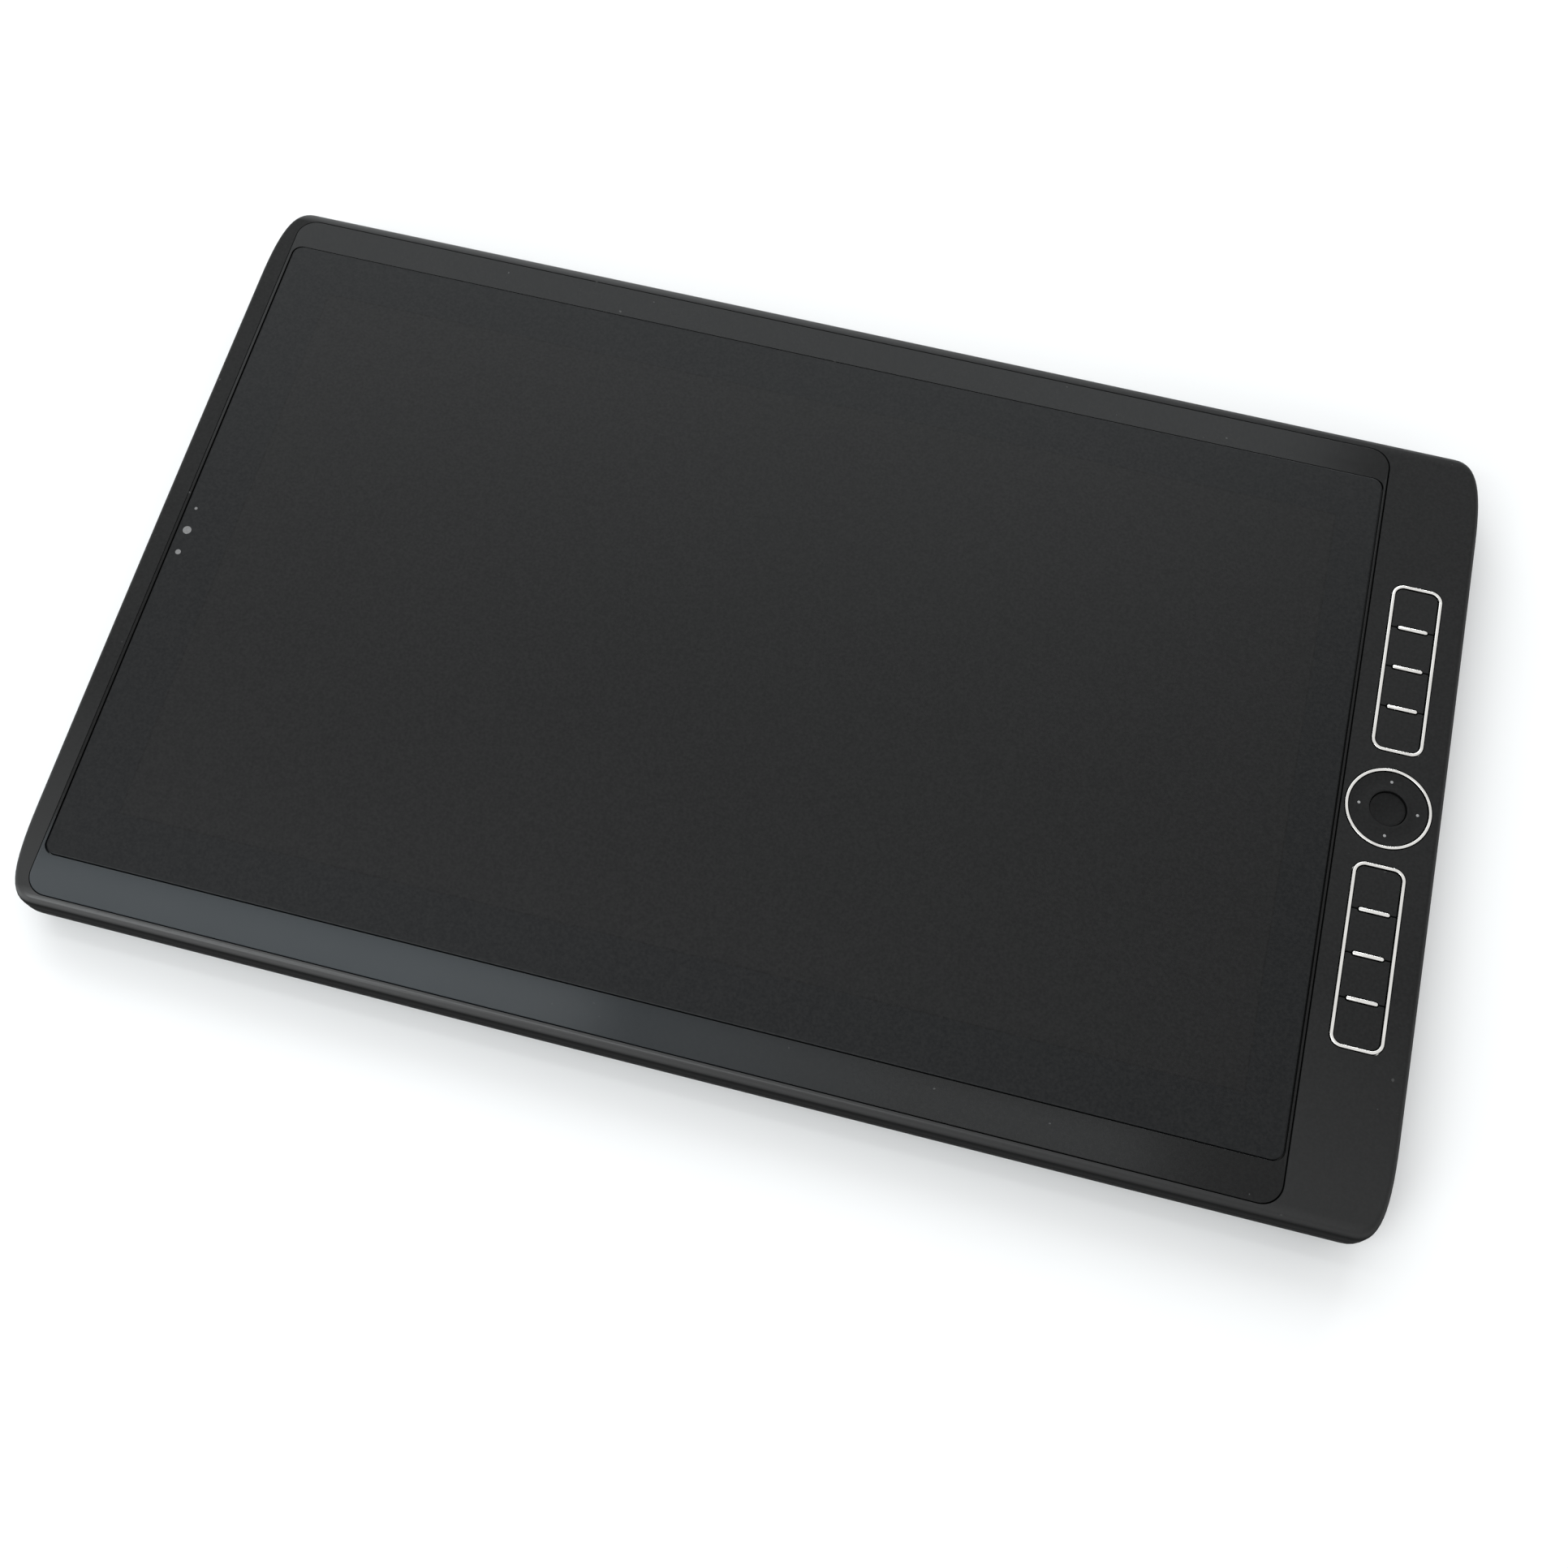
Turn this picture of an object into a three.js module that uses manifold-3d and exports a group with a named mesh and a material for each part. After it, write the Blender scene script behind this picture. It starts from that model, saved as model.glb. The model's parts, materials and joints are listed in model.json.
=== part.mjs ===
// Pen drawing tablet: a pen computer with a 15.6 inch display, eight keys and a rocker ring.
// Millimetres, +Z up. The origin is the centre of the footprint, on the surface it rests on.
// +X points to the key column and +Y to the edge furthest from the person drawing.
import * as THREE from 'three';
import { mergeVertices } from 'three/addons/utils/BufferGeometryUtils.js';
import Module from 'manifold-3d';

const wasm = await Module();
wasm.setup();

// ---------------------------------------------------------------- driving dimensions
const clearance = 0.3; // between neighbouring pieces
const shell = {
  width: 418.9,
  depth: 259.8,
  faceZ: 21.9, // flat front face
  baseZ: 1.2, // flat underside, lifted by the feet
  shoulderZ: 17.1, // where the front edge starts to round over
  seamZ: 14.05, // parting line between the two housings
  roundWidth: 2.6,
  bellyWidth: 9,
  wall: 2,
  deck: 2.2,
  bow: 0.3, // how far the long and short sides belly out
};
const corner = { sideReach: 30, sideHandle: 9, endHandle: 2.2, endReach: 10, softening: 20 };
const panel = { left: -201.9, right: 178.1, front: -126.8, back: 125.7, radius: 6.8, gap: 0.35, skirt: 0.8 };
const glass = {
  left: -200.5, right: 176.5, front: -113.7, back: 114.5, radius: 3.5, thickness: 1.35, rise: 0.05,
};
const screen = { x: -9.8, y: 0.75 }; // centre of the display
const display = { width: 359, depth: 211, bottomZ: 16.4, topZ: 20.1 };
const sensor = { width: 356, depth: 207, bottomZ: 15, topZ: 15.9 };
const chassis = { halfWidth: 200, halfDepth: 121.5, bottomZ: 13.2, topZ: 14.4, radius: 9 };

const column = { x: 192.35, y: 0.5 }; // centre line of the keys
const keyGroup = { offset: 47.92, width: 15.9, depth: 58.3, radius: 3.8, frame: 0.95, keys: 4, pitch: 14 };
const key = { bottomZ: 19.7, topZ: 21.75, side: 0.25, stemRadius: 1.6, stemZ: 17.4 };
const bar = { length: 9.3, width: 1.15, topZ: 22.02, bottomZ: 16.5, play: 0.28 };
const trim = { topZ: 22.1, flange: 1.1, flangeBottomZ: 18.5, flangeTopZ: 19.4 };
const rocker = { outer: 12, inner: 5.85, topZ: 21.85, bottomZ: 19.3, frameOuter: 13.15, frameInner: 12.3 };
const gimbal = { outer: 11, inner: 6.4, topZ: 18.4, bottomZ: 17.3 };
const home = { radius: 5.55, topZ: 21.05, dish: 0.4, skirtZ: 19.2, stemZ: 17.4, stemRadius: 2 };
const keyBoard = { width: 18.5, depth: 160, bottomZ: 14.9, topZ: 16.1, domeRadius: 3, domeTopZ: 16.8 };

const sidePart = { z: 9.6, mouth: 0.7 }; // connectors: height, and depth of the mouth below the outline
const usbPorts = { along: [58, 74, 90], width: 8.9, height: 3.2, depth: 7.6 };
const jack = { along: 40, radius: 2.9, bore: 1.8, depth: 12 };
const cardSlot = { along: 62, width: 26, height: 3, depth: 18 };
const edgeButtons = { z: 9.4, proud: 0.35, height: 2.8, depth: 4.5, play: 0.28, flange: 0.8 };
const powerButton = { along: 186, width: 11 };
const volumeButtons = { along: [150, 136], width: 10.5 };
const lockSlider = { along: 112, width: 5, travel: 3 };

const fan = { x: -150, y: 70, size: 60, cavity: 23.8, rotor: 22.3, eye: 15.5, hub: 8.5, blades: 15 };
const fanLevels = { bottomZ: 3.8, floorZ: 4.8, roofZ: 11.2, topZ: 12.1 };
const intake = { rows: 9, pitch: 4.2, slot: 2, radius: 19 };
const exhaust = { columns: 11, pitch: 4.4, slot: 2.2, height: 4, z: 7.6 };
const speakerGrille = { rows: 5, pitch: 4, slot: 1.6, length: 14 };
const fins = { y: 112, width: 56, depth: 16, bottomZ: 4.6, topZ: 9.9, count: 15, thickness: 1 };
const pipe = { width: 7, height: 2.6, z: 11.5 };
const processor = { x: 20, y: 58, width: 26, depth: 20, height: 1.2 };
const board = { left: -108, right: 168, front: 0, back: 106, bottomZ: 5, topZ: 6.4 };
const boardTongue = { right: 199, front: 32, back: 104 };
const battery = { width: 140, depth: 88, front: -109, bottomZ: 4, topZ: 10.6, centres: [-92, 58] };
const speaker = { reach: 168, y: -70, width: 24, depth: 62, bottomZ: 3.9, topZ: 11.4 };
const cameraModule = { x: -197.3, y: 0.3, width: 3.2, length: 24, bottomZ: 17, topZ: 20.1 };

const foot = { x: 150, y: 112, length: 58, width: 10, topZ: 1.9 };
const rearCamera = { x: -186, y: 0, radius: 5, bottomZ: 1.45, topZ: 2.3 };
const screws = { x: [-190, 0, 190], y: 114, headRadius: 2.4, shankRadius: 1.25, topZ: 11 };
const screwLevels = { headBottomZ: 1.6, headTopZ: 2.7, standoffZ: 5.2, standoffRadius: 3.2 };

// ---------------------------------------------------------------- solid helpers
function toSolid(geometry) {
  const bare = geometry.clone();
  bare.deleteAttribute('normal');
  bare.deleteAttribute('uv');
  const merged = mergeVertices(bare, 1e-4);
  return new wasm.Manifold(new wasm.Mesh({
    numProp: 3,
    vertProperties: merged.attributes.position.array,
    triVerts: Uint32Array.from(merged.index.array),
  }));
}

function toGeometry(solid) {
  const mesh = solid.getMesh();
  const geometry = new THREE.BufferGeometry();
  geometry.setAttribute('position', new THREE.BufferAttribute(mesh.vertProperties, 3));
  geometry.setIndex(new THREE.BufferAttribute(mesh.triVerts, 1));
  geometry.computeVertexNormals();
  return geometry;
}

function join(...pieces) {
  return toGeometry(pieces.map(toSolid).reduce((whole, piece) => whole.add(piece)));
}

function cut(base, ...tools) {
  return toGeometry(tools.map(toSolid).reduce((whole, tool) => whole.subtract(tool), toSolid(base)));
}

function common(base, tool) {
  return toGeometry(toSolid(base).intersect(toSolid(tool)));
}

function block(x0, x1, y0, y1, z0, z1) {
  const box = new THREE.BoxGeometry(x1 - x0, y1 - y0, z1 - z0);
  return box.translate((x0 + x1) / 2, (y0 + y1) / 2, (z0 + z1) / 2);
}

function rod(radius, z0, z1, x = 0, y = 0, segments = 14) {
  const cylinder = new THREE.CylinderGeometry(radius, radius, z1 - z0, segments);
  return cylinder.rotateX(Math.PI / 2).translate(x, y, (z0 + z1) / 2);
}

function roundedRect(x0, x1, y0, y1, radius) {
  const shape = new THREE.Shape();
  shape.moveTo(x0 + radius, y0);
  shape.lineTo(x1 - radius, y0);
  shape.absarc(x1 - radius, y0 + radius, radius, -Math.PI / 2, 0);
  shape.lineTo(x1, y1 - radius);
  shape.absarc(x1 - radius, y1 - radius, radius, 0, Math.PI / 2);
  shape.lineTo(x0 + radius, y1);
  shape.absarc(x0 + radius, y1 - radius, radius, Math.PI / 2, Math.PI);
  shape.lineTo(x0, y0 + radius);
  shape.absarc(x0 + radius, y0 + radius, radius, Math.PI, Math.PI * 1.5);
  return shape;
}

function extrude(shape, z0, z1, curveSegments = 3) {
  const geometry = new THREE.ExtrudeGeometry(shape, { depth: z1 - z0, bevelEnabled: false, curveSegments });
  return geometry.translate(0, 0, z0);
}

function pad(width, depth, radius, z0, z1, x = 0, y = 0, curveSegments = 1) {
  const shape = roundedRect(x - width / 2, x + width / 2, y - depth / 2, y + depth / 2, radius);
  return extrude(shape, z0, z1, curveSegments);
}

function insetRect(rect, inset, z0, z1) {
  const shape = roundedRect(
    rect.left + inset,
    rect.right - inset,
    rect.front + inset,
    rect.back - inset,
    Math.max(rect.radius - inset, 1),
  );
  return extrude(shape, z0, z1);
}

function turned(profile, segments = 36) {
  const lathe = new THREE.LatheGeometry(profile.map(([r, z]) => new THREE.Vector2(r, z)), segments);
  return lathe.rotateX(Math.PI / 2);
}

// Stacks closed rings of equal point counts into one capped solid, lowest ring first.
function loft(rings) {
  const count = rings[0].length;
  const index = [];
  for (let level = 0; level < rings.length - 1; level++) {
    for (let i = 0; i < count; i++) {
      const a = level * count + i;
      const b = level * count + (i + 1) % count;
      index.push(a, b, b + count, a, b + count, a + count);
    }
  }
  const top = (rings.length - 1) * count;
  for (const [a, b, c] of THREE.ShapeUtils.triangulateShape(rings[0], [])) {
    index.push(a, c, b);
  }
  for (const [a, b, c] of THREE.ShapeUtils.triangulateShape(rings.at(-1), [])) {
    index.push(top + a, top + b, top + c);
  }
  const geometry = new THREE.BufferGeometry().setFromPoints(rings.flat());
  geometry.setIndex(index);
  return geometry;
}

// ---------------------------------------------------------------- the body's outline
// One corner eases in slowly from the short side and turns quickly into the long side.
function cornerCurve(halfWidth, halfDepth, inset) {
  const size = 1 - inset / corner.softening;
  return new THREE.CubicBezierCurve(
    new THREE.Vector2(halfWidth, halfDepth - corner.sideReach * size),
    new THREE.Vector2(halfWidth, halfDepth - corner.sideHandle * size),
    new THREE.Vector2(halfWidth - corner.endHandle * size, halfDepth),
    new THREE.Vector2(halfWidth - corner.endReach * size, halfDepth),
  );
}

function outline(inset, z, cornerSteps = 7, sideSteps = 4) {
  const halfWidth = shell.width / 2 - inset;
  const halfDepth = shell.depth / 2 - inset;
  const quarter = cornerCurve(halfWidth, halfDepth, inset).getPoints(cornerSteps);
  const mirrored = quarter.map((p) => new THREE.Vector2(-p.x, p.y)).reverse();
  const half = [...quarter, ...mirrored];
  const corners = [...half, ...half.map((p) => new THREE.Vector2(-p.x, -p.y))];
  const ring = [];
  corners.forEach((point, i) => {
    const next = corners[(i + 1) % corners.length];
    const steps = (i + 1) % (cornerSteps + 1) === 0 ? sideSteps : 1;
    for (let step = 0; step < steps; step++) {
      ring.push(point.clone().lerp(next, step / steps));
    }
  });
  return ring.map((p) => new THREE.Vector3(
    p.x - Math.sign(p.x) * shell.bow * (p.y / halfDepth) ** 2,
    p.y - Math.sign(p.y) * shell.bow * (p.x / halfWidth) ** 2,
    z,
  ));
}

// How far the outer surface lies inside the outline at a height.
function edgeInset(z) {
  if (z > shell.shoulderZ) {
    const rise = (z - shell.shoulderZ) / (shell.faceZ - shell.shoulderZ);
    return shell.roundWidth * (1 - Math.sqrt(Math.max(0, 1 - rise * rise)));
  }
  const drop = Math.max(0, (shell.seamZ - z) / (shell.seamZ - shell.baseZ));
  return shell.bellyWidth * (1 - Math.sqrt(Math.max(0, 1 - drop ** 3)));
}

function band(innerInset, outerInset, z0, z1) {
  const outer = loft([outline(outerInset, z0), outline(outerInset, z1)]);
  const inner = loft([outline(innerInset, z0 - 1), outline(innerInset, z1 + 1)]);
  return cut(outer, inner);
}

// Turns a shape built along +Z so that it looks out of one side of the body.
function outOf(side, along, z, depthInset) {
  const turn = { right: [0, Math.PI / 2], left: [0, -Math.PI / 2], back: [-Math.PI / 2, 0] }[side];
  const reach = (side === 'back' ? shell.depth : shell.width) / 2 - depthInset;
  const place = { right: [reach, along], left: [-reach, along], back: [along, reach] }[side];
  const matrix = new THREE.Matrix4().makeRotationFromEuler(new THREE.Euler(turn[0], turn[1], 0));
  return matrix.setPosition(place[0], place[1], z);
}

// ---------------------------------------------------------------- housings
function groupCentre(side) {
  return column.y + side * keyGroup.offset;
}

function topHousing() {
  const roundSteps = [0, 0.3, 0.55, 0.75, 0.9, 0.975, 1];
  const levels = roundSteps.map((s) => shell.shoulderZ + (shell.faceZ - shell.shoulderZ) * s);
  const bottomZ = shell.seamZ + clearance / 2;
  const outer = loft([bottomZ, ...levels].map((z) => outline(edgeInset(z), z)));
  const cavityZ = shell.faceZ - shell.deck;
  const wallInset = shell.wall + 0.2;
  const cavity = loft([outline(wallInset, bottomZ - 1), outline(wallInset, cavityZ)]);
  const skirt = insetRect(panel, -panel.skirt, 16.6, cavityZ + 0.5);
  const pocket = insetRect(panel, 0, 18.1, shell.faceZ + 1);
  const window = insetRect(panel, 2.2, bottomZ - 1, shell.faceZ);
  const keySlots = [1, -1].map((side) => pad(
    keyGroup.width + 2 * clearance,
    keyGroup.depth + 2 * clearance,
    keyGroup.radius + clearance,
    cavityZ - 1,
    shell.faceZ + 1,
    column.x,
    groupCentre(side),
    3,
  ));
  const rockerRadius = rocker.frameOuter + clearance;
  const rockerHole = rod(rockerRadius, cavityZ - 1, shell.faceZ + 1, column.x, column.y, 36);
  return cut(join(cut(outer, cavity), skirt), pocket, window, ...keySlots, rockerHole);
}

function rearCover() {
  const drops = [1, 0.985, 0.94, 0.86, 0.74, 0.55, 0.3];
  const levels = drops.map((d) => shell.seamZ - (shell.seamZ - shell.baseZ) * d);
  const topZ = shell.seamZ - clearance / 2;
  const outer = loft([...levels, topZ].map((z) => outline(edgeInset(z), z)));
  const floorZ = shell.baseZ + shell.wall;
  const innerLevels = [floorZ, 4.4, 6.5, 9.5, shell.seamZ + 1];
  const inner = loft(innerLevels.map((z) => outline(edgeInset(z) + shell.wall, z)));
  const lip = join(band(3.9, 1, 12, topZ - 0.2), band(3.9, 2.5, 12.5, 15.4));
  return cut(join(cut(outer, inner), lip), ...coverCutters(floorZ));
}

function coverCutters(floorZ) {
  const slot = (length, width, x, y) => block(
    x - length / 2, x + length / 2, y - width / 2, y + width / 2, shell.baseZ - 1, floorZ + 1);
  const rows = (count) => Array.from({ length: count }, (_, i) => i - (count - 1) / 2);
  const fanSlots = rows(intake.rows).map((row) => {
    const across = row * intake.pitch;
    return slot(2 * Math.sqrt(intake.radius ** 2 - across ** 2), intake.slot, fan.x, fan.y + across);
  });
  const speakerSlots = [-1, 1].flatMap((side) => rows(speakerGrille.rows).map((row) => slot(
    speakerGrille.length,
    speakerGrille.slot,
    screen.x + side * speaker.reach,
    speaker.y + row * speakerGrille.pitch,
  )));
  const exhaustSlots = rows(exhaust.columns).map((column) => block(
    -exhaust.slot / 2, exhaust.slot / 2, -exhaust.height / 2, exhaust.height / 2, -8, 4,
  ).applyMatrix4(outOf('back', fan.x + column * exhaust.pitch, exhaust.z, 1)));
  return [
    ...fanSlots,
    ...speakerSlots,
    ...exhaustSlots,
    ...connectorCutters(),
    ...footPlaces().map(([x, y]) => footRecess().translate(x, y, 0)),
    ...screwPlaces().flatMap(([x, y]) => [
      rod(screws.headRadius + clearance, 0, screwLevels.headTopZ, x, y, 12),
      rod(screws.shankRadius + clearance, 0, floorZ + 1, x, y, 10),
    ]),
    rod(rearCamera.radius + clearance, 0, rearCamera.topZ + clearance, rearCamera.x, rearCamera.y, 24),
  ];
}

function connectorCutters() {
  const opening = (width, height, radius) => pad(
    height + 2 * clearance, width + 2 * clearance, radius, -14, 6);
  const backOpening = (width, height) => pad(
    width + 2 * edgeButtons.play, height + 2 * edgeButtons.play, height / 2, -14, 6, 0, 0, 2);
  const usb = usbPorts.along.map((along) => opening(usbPorts.width, usbPorts.height, 1.7)
    .applyMatrix4(outOf('right', along, sidePart.z, 0)));
  const jackHole = rod(jack.radius + clearance, -16, 6)
    .applyMatrix4(outOf('right', jack.along, sidePart.z, 0));
  const card = opening(cardSlot.width, cardSlot.height, 0.8)
    .applyMatrix4(outOf('left', cardSlot.along, sidePart.z, 0));
  const power = backOpening(powerButton.width, edgeButtons.height)
    .applyMatrix4(outOf('back', powerButton.along, edgeButtons.z, 0));
  const volume = volumeButtons.along.map((along) => backOpening(volumeButtons.width, edgeButtons.height)
    .applyMatrix4(outOf('back', along, edgeButtons.z, 0)));
  const lock = backOpening(lockSlider.width + lockSlider.travel, edgeButtons.height)
    .applyMatrix4(outOf('back', lockSlider.along + lockSlider.travel / 2, edgeButtons.z, 0));
  return [...usb, jackHole, card, power, ...volume, lock];
}

function footRecess() {
  const { length, width, topZ } = foot;
  return pad(length + 2 * clearance, width + 2 * clearance, width / 2, 0, topZ + clearance, 0, 0, 3);
}

function footPlaces() {
  return [[-foot.x, foot.y], [foot.x, foot.y], [-foot.x, -foot.y], [foot.x, -foot.y]];
}

function screwPlaces() {
  return [1, -1].flatMap((side) => screws.x.map((x) => [x, side * screws.y]));
}

// ---------------------------------------------------------------- front panel and display
function frontBezel() {
  const ledgeZ = shell.faceZ + glass.rise - glass.thickness - clearance;
  const frame = insetRect(panel, panel.gap, 18.4, shell.faceZ);
  const seat = insetRect(glass, -clearance, ledgeZ, shell.faceZ + 1);
  return cut(frame, seat, insetRect(glass, 1, 18, shell.faceZ));
}

function coverGlass() {
  const topZ = shell.faceZ + glass.rise;
  return insetRect(glass, 0, topZ - glass.thickness, topZ);
}

function lcdModule() {
  const { width, depth, bottomZ, topZ } = display;
  const rim = pad(width, depth, 1.5, bottomZ, topZ, screen.x, screen.y);
  const recess = pad(width - 9, depth - 11, 1, topZ - 0.6, topZ + 1, screen.x, screen.y);
  return cut(rim, recess);
}

function penSensorBoard() {
  const { width, depth, bottomZ, topZ } = sensor;
  const sheet = pad(width, depth, 2, bottomZ, topZ, screen.x, screen.y);
  return cut(sheet, pad(60, 6, 1, bottomZ - 1, topZ + 1, screen.x, screen.y + depth / 2));
}

function chassisFrame() {
  const { halfWidth, halfDepth, bottomZ, topZ, radius } = chassis;
  const plate = pad(2 * halfWidth, 2 * halfDepth, radius, bottomZ, topZ);
  const { standoffRadius, standoffZ } = screwLevels;
  const holeRadius = screws.shankRadius + clearance;
  const standoffs = screwPlaces().map(([x, y]) => rod(standoffRadius, standoffZ, bottomZ + 0.5, x, y, 12));
  const holes = screwPlaces().map(([x, y]) => rod(holeRadius, 0, screws.topZ + 0.5, x, y, 12));
  const windows = [-1, 0, 1].map((i) => pad(88, 66, 6, bottomZ - 1, topZ + 1, screen.x + i * 112, -60));
  const cableSlots = [-1, 1].map((side) => pad(30, 5, 2, bottomZ - 1, topZ + 1, screen.x + side * 60, 112));
  return cut(join(plate, ...standoffs), ...holes, ...windows, ...cableSlots);
}

// ---------------------------------------------------------------- electronics and cooling
function mainBoard() {
  const shape = new THREE.Shape();
  shape.moveTo(board.left, board.front);
  shape.lineTo(board.right, board.front);
  shape.lineTo(board.right, boardTongue.front);
  shape.lineTo(boardTongue.right, boardTongue.front);
  shape.lineTo(boardTongue.right, boardTongue.back);
  shape.lineTo(board.right, boardTongue.back);
  shape.lineTo(board.right, board.back);
  shape.lineTo(board.left, board.back);
  const sheet = extrude(shape, board.bottomZ, board.topZ);
  const chip = (x, y, width, depth, height) => block(
    x - width / 2, x + width / 2, y - depth / 2, y + depth / 2, board.topZ - 0.2, board.topZ + height);
  const memory = [-1, 1].flatMap((side) => [0, 1, 2, 3].map(
    (i) => chip(processor.x + side * 30, processor.y - 24 + i * 16, 14, 11, 1),
  ));
  return join(
    sheet,
    chip(processor.x, processor.y, processor.width, processor.depth, processor.height),
    ...memory,
    chip(-80, 30, 22, 30, 2.2),
    chip(110, 76, 22, 40, 2.2),
    chip(120, 20, 30, 8, 2.6),
  );
}

function heatPipe() {
  const section = new THREE.Shape();
  section.absellipse(0, 0, pipe.height / 2, pipe.width / 2, 0, Math.PI * 2);
  const route = new THREE.CatmullRomCurve3([
    new THREE.Vector3(processor.x + 16, processor.y, pipe.z),
    new THREE.Vector3(processor.x - 24, processor.y + 2, pipe.z),
    new THREE.Vector3(-40, 74, pipe.z),
    new THREE.Vector3(-92, 104, pipe.z),
    new THREE.Vector3(-122, fins.y, pipe.z),
    new THREE.Vector3(fan.x - fins.width / 2, fins.y, pipe.z),
  ]);
  return new THREE.ExtrudeGeometry(section, { steps: 24, extrudePath: route, curveSegments: 5 });
}

function heatSpreader() {
  const bottomZ = board.topZ + processor.height + clearance;
  const topZ = pipe.z - pipe.height / 2 - clearance;
  return pad(processor.width + 12, processor.depth + 12, 2, bottomZ, topZ, processor.x, processor.y);
}

function heatSink() {
  const left = fan.x - fins.width / 2;
  const front = fins.y - fins.depth / 2;
  const back = fins.y + fins.depth / 2;
  const base = block(left, left + fins.width, front, back, fins.topZ - 1, fins.topZ);
  const pitch = (fins.width - fins.thickness) / (fins.count - 1);
  const blades = Array.from({ length: fins.count }, (_, i) => block(
    left + i * pitch,
    left + i * pitch + fins.thickness,
    front,
    back,
    fins.bottomZ,
    fins.topZ - 0.5,
  ));
  return join(base, ...blades);
}

function fanHousing() {
  const { bottomZ, floorZ, roofZ, topZ } = fanLevels;
  const box = pad(fan.size, fan.size, 8, bottomZ, topZ, fan.x, fan.y);
  const cavity = rod(fan.cavity, floorZ, roofZ, fan.x, fan.y, 40);
  const mouth = block(fan.x - 22, fan.x + 22, fan.y, fan.y + fan.size, floorZ, roofZ);
  const roofEye = rod(fan.eye, roofZ - 1, topZ + 1, fan.x, fan.y, 32);
  const floorEye = rod(fan.eye, bottomZ - 1, floorZ + 1, fan.x, fan.y, 32);
  const spider = join(
    rod(fan.hub - 1, bottomZ, floorZ, fan.x, fan.y, 24),
    ...[0, 1, 2].map((i) => block(0, fan.eye + 1, -1.5, 1.5, bottomZ, floorZ)
      .rotateZ(i * Math.PI * 2 / 3 + Math.PI / 6).translate(fan.x, fan.y, 0)),
  );
  return join(cut(box, cavity, mouth, roofEye, floorEye), spider);
}

function fanRotor() {
  const low = fanLevels.floorZ + 0.5;
  const high = fanLevels.roofZ - 0.5;
  const blade = block(0, fan.rotor - fan.hub + 1, -0.45, 0.45, low + 0.6, high)
    .rotateZ(-0.5).translate(fan.hub - 1, 2, 0);
  const blades = Array.from({ length: fan.blades }, (_, i) => (
    blade.clone().rotateZ(i * Math.PI * 2 / fan.blades)));
  return join(rod(fan.hub, low, high, 0, 0, 28), ...blades);
}

function speakerBox() {
  const { width, depth, bottomZ, topZ } = speaker;
  const enclosure = pad(width, depth, 3, bottomZ + 0.8, topZ);
  const driver = pad(width - 4, depth * 0.5, 6, bottomZ, bottomZ + 1.5, 0, 0, 2);
  return join(enclosure, driver);
}

function frontCameraModule() {
  const { x, y, width, length, bottomZ, topZ } = cameraModule;
  const carrier = pad(width, length, 0.8, bottomZ, topZ - 1, x, y);
  const barrels = [[0, 1.5], [8.2, 0.6], [-8.2, 0.95]].map(([along, radius]) => (
    rod(radius, topZ - 1.3, topZ, x, y + along)));
  return join(carrier, ...barrels);
}

// ---------------------------------------------------------------- key column
function keyTrim() {
  const { width, depth, radius, frame } = keyGroup;
  const { topZ, flange, flangeBottomZ, flangeTopZ } = trim;
  const neck = pad(width, depth, radius, flangeBottomZ, topZ, 0, 0, 3);
  const skirt = pad(width + 2 * flange, depth + 2 * flange, radius + flange, flangeBottomZ, flangeTopZ);
  const opening = pad(width - 2 * frame, depth - 2 * frame, radius - frame, 0, topZ + 1, 0, 0, 3);
  return cut(join(neck, skirt), opening);
}

function rockerTrim() {
  const { frameInner, frameOuter } = rocker;
  return turned([
    [frameInner, trim.flangeBottomZ],
    [frameOuter, trim.flangeBottomZ],
    [frameOuter, trim.topZ - 0.2],
    [frameOuter - 0.25, trim.topZ],
    [frameInner + 0.25, trim.topZ],
    [frameInner, trim.topZ - 0.2],
    [frameInner, trim.flangeBottomZ],
  ]);
}

// One key of a group: slot 0 is the lowest, and the end keys take the frame's round corners.
function keyCap(slot) {
  const width = keyGroup.width - 2 * keyGroup.frame - 2 * key.side;
  const depth = keyGroup.depth - 2 * keyGroup.frame - 2 * key.side;
  const centre = (slot - (keyGroup.keys - 1) / 2) * keyGroup.pitch;
  const radius = keyGroup.radius - keyGroup.frame - key.side;
  const all = pad(width, depth, radius, key.bottomZ, key.topZ, 0, -centre, 3);
  const reach = keyGroup.pitch / 2 - clearance / 2;
  const low = slot === 0 ? depth : reach;
  const high = slot === keyGroup.keys - 1 ? depth : reach;
  const slice = block(-width, width, -low, high, key.bottomZ - 1, key.topZ + 1);
  const notches = [-1, 1].map((side) => pad(
    bar.length + 2 * bar.play,
    bar.width + 2 * bar.play,
    bar.width / 2 + bar.play - 0.01,
    key.bottomZ - 1,
    key.topZ + 1,
    0,
    side * keyGroup.pitch / 2,
  ));
  const inner = notches.filter((_, i) => (i === 0 ? slot > 0 : slot < keyGroup.keys - 1));
  const stem = rod(key.stemRadius, key.stemZ, key.bottomZ + 0.5, 0, 0, 14);
  return join(cut(common(all, slice), ...inner), stem);
}

function dividerBar() {
  return pad(bar.length, bar.width, bar.width / 2 - 0.01, bar.bottomZ, bar.topZ, 0, 0, 2);
}

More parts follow.
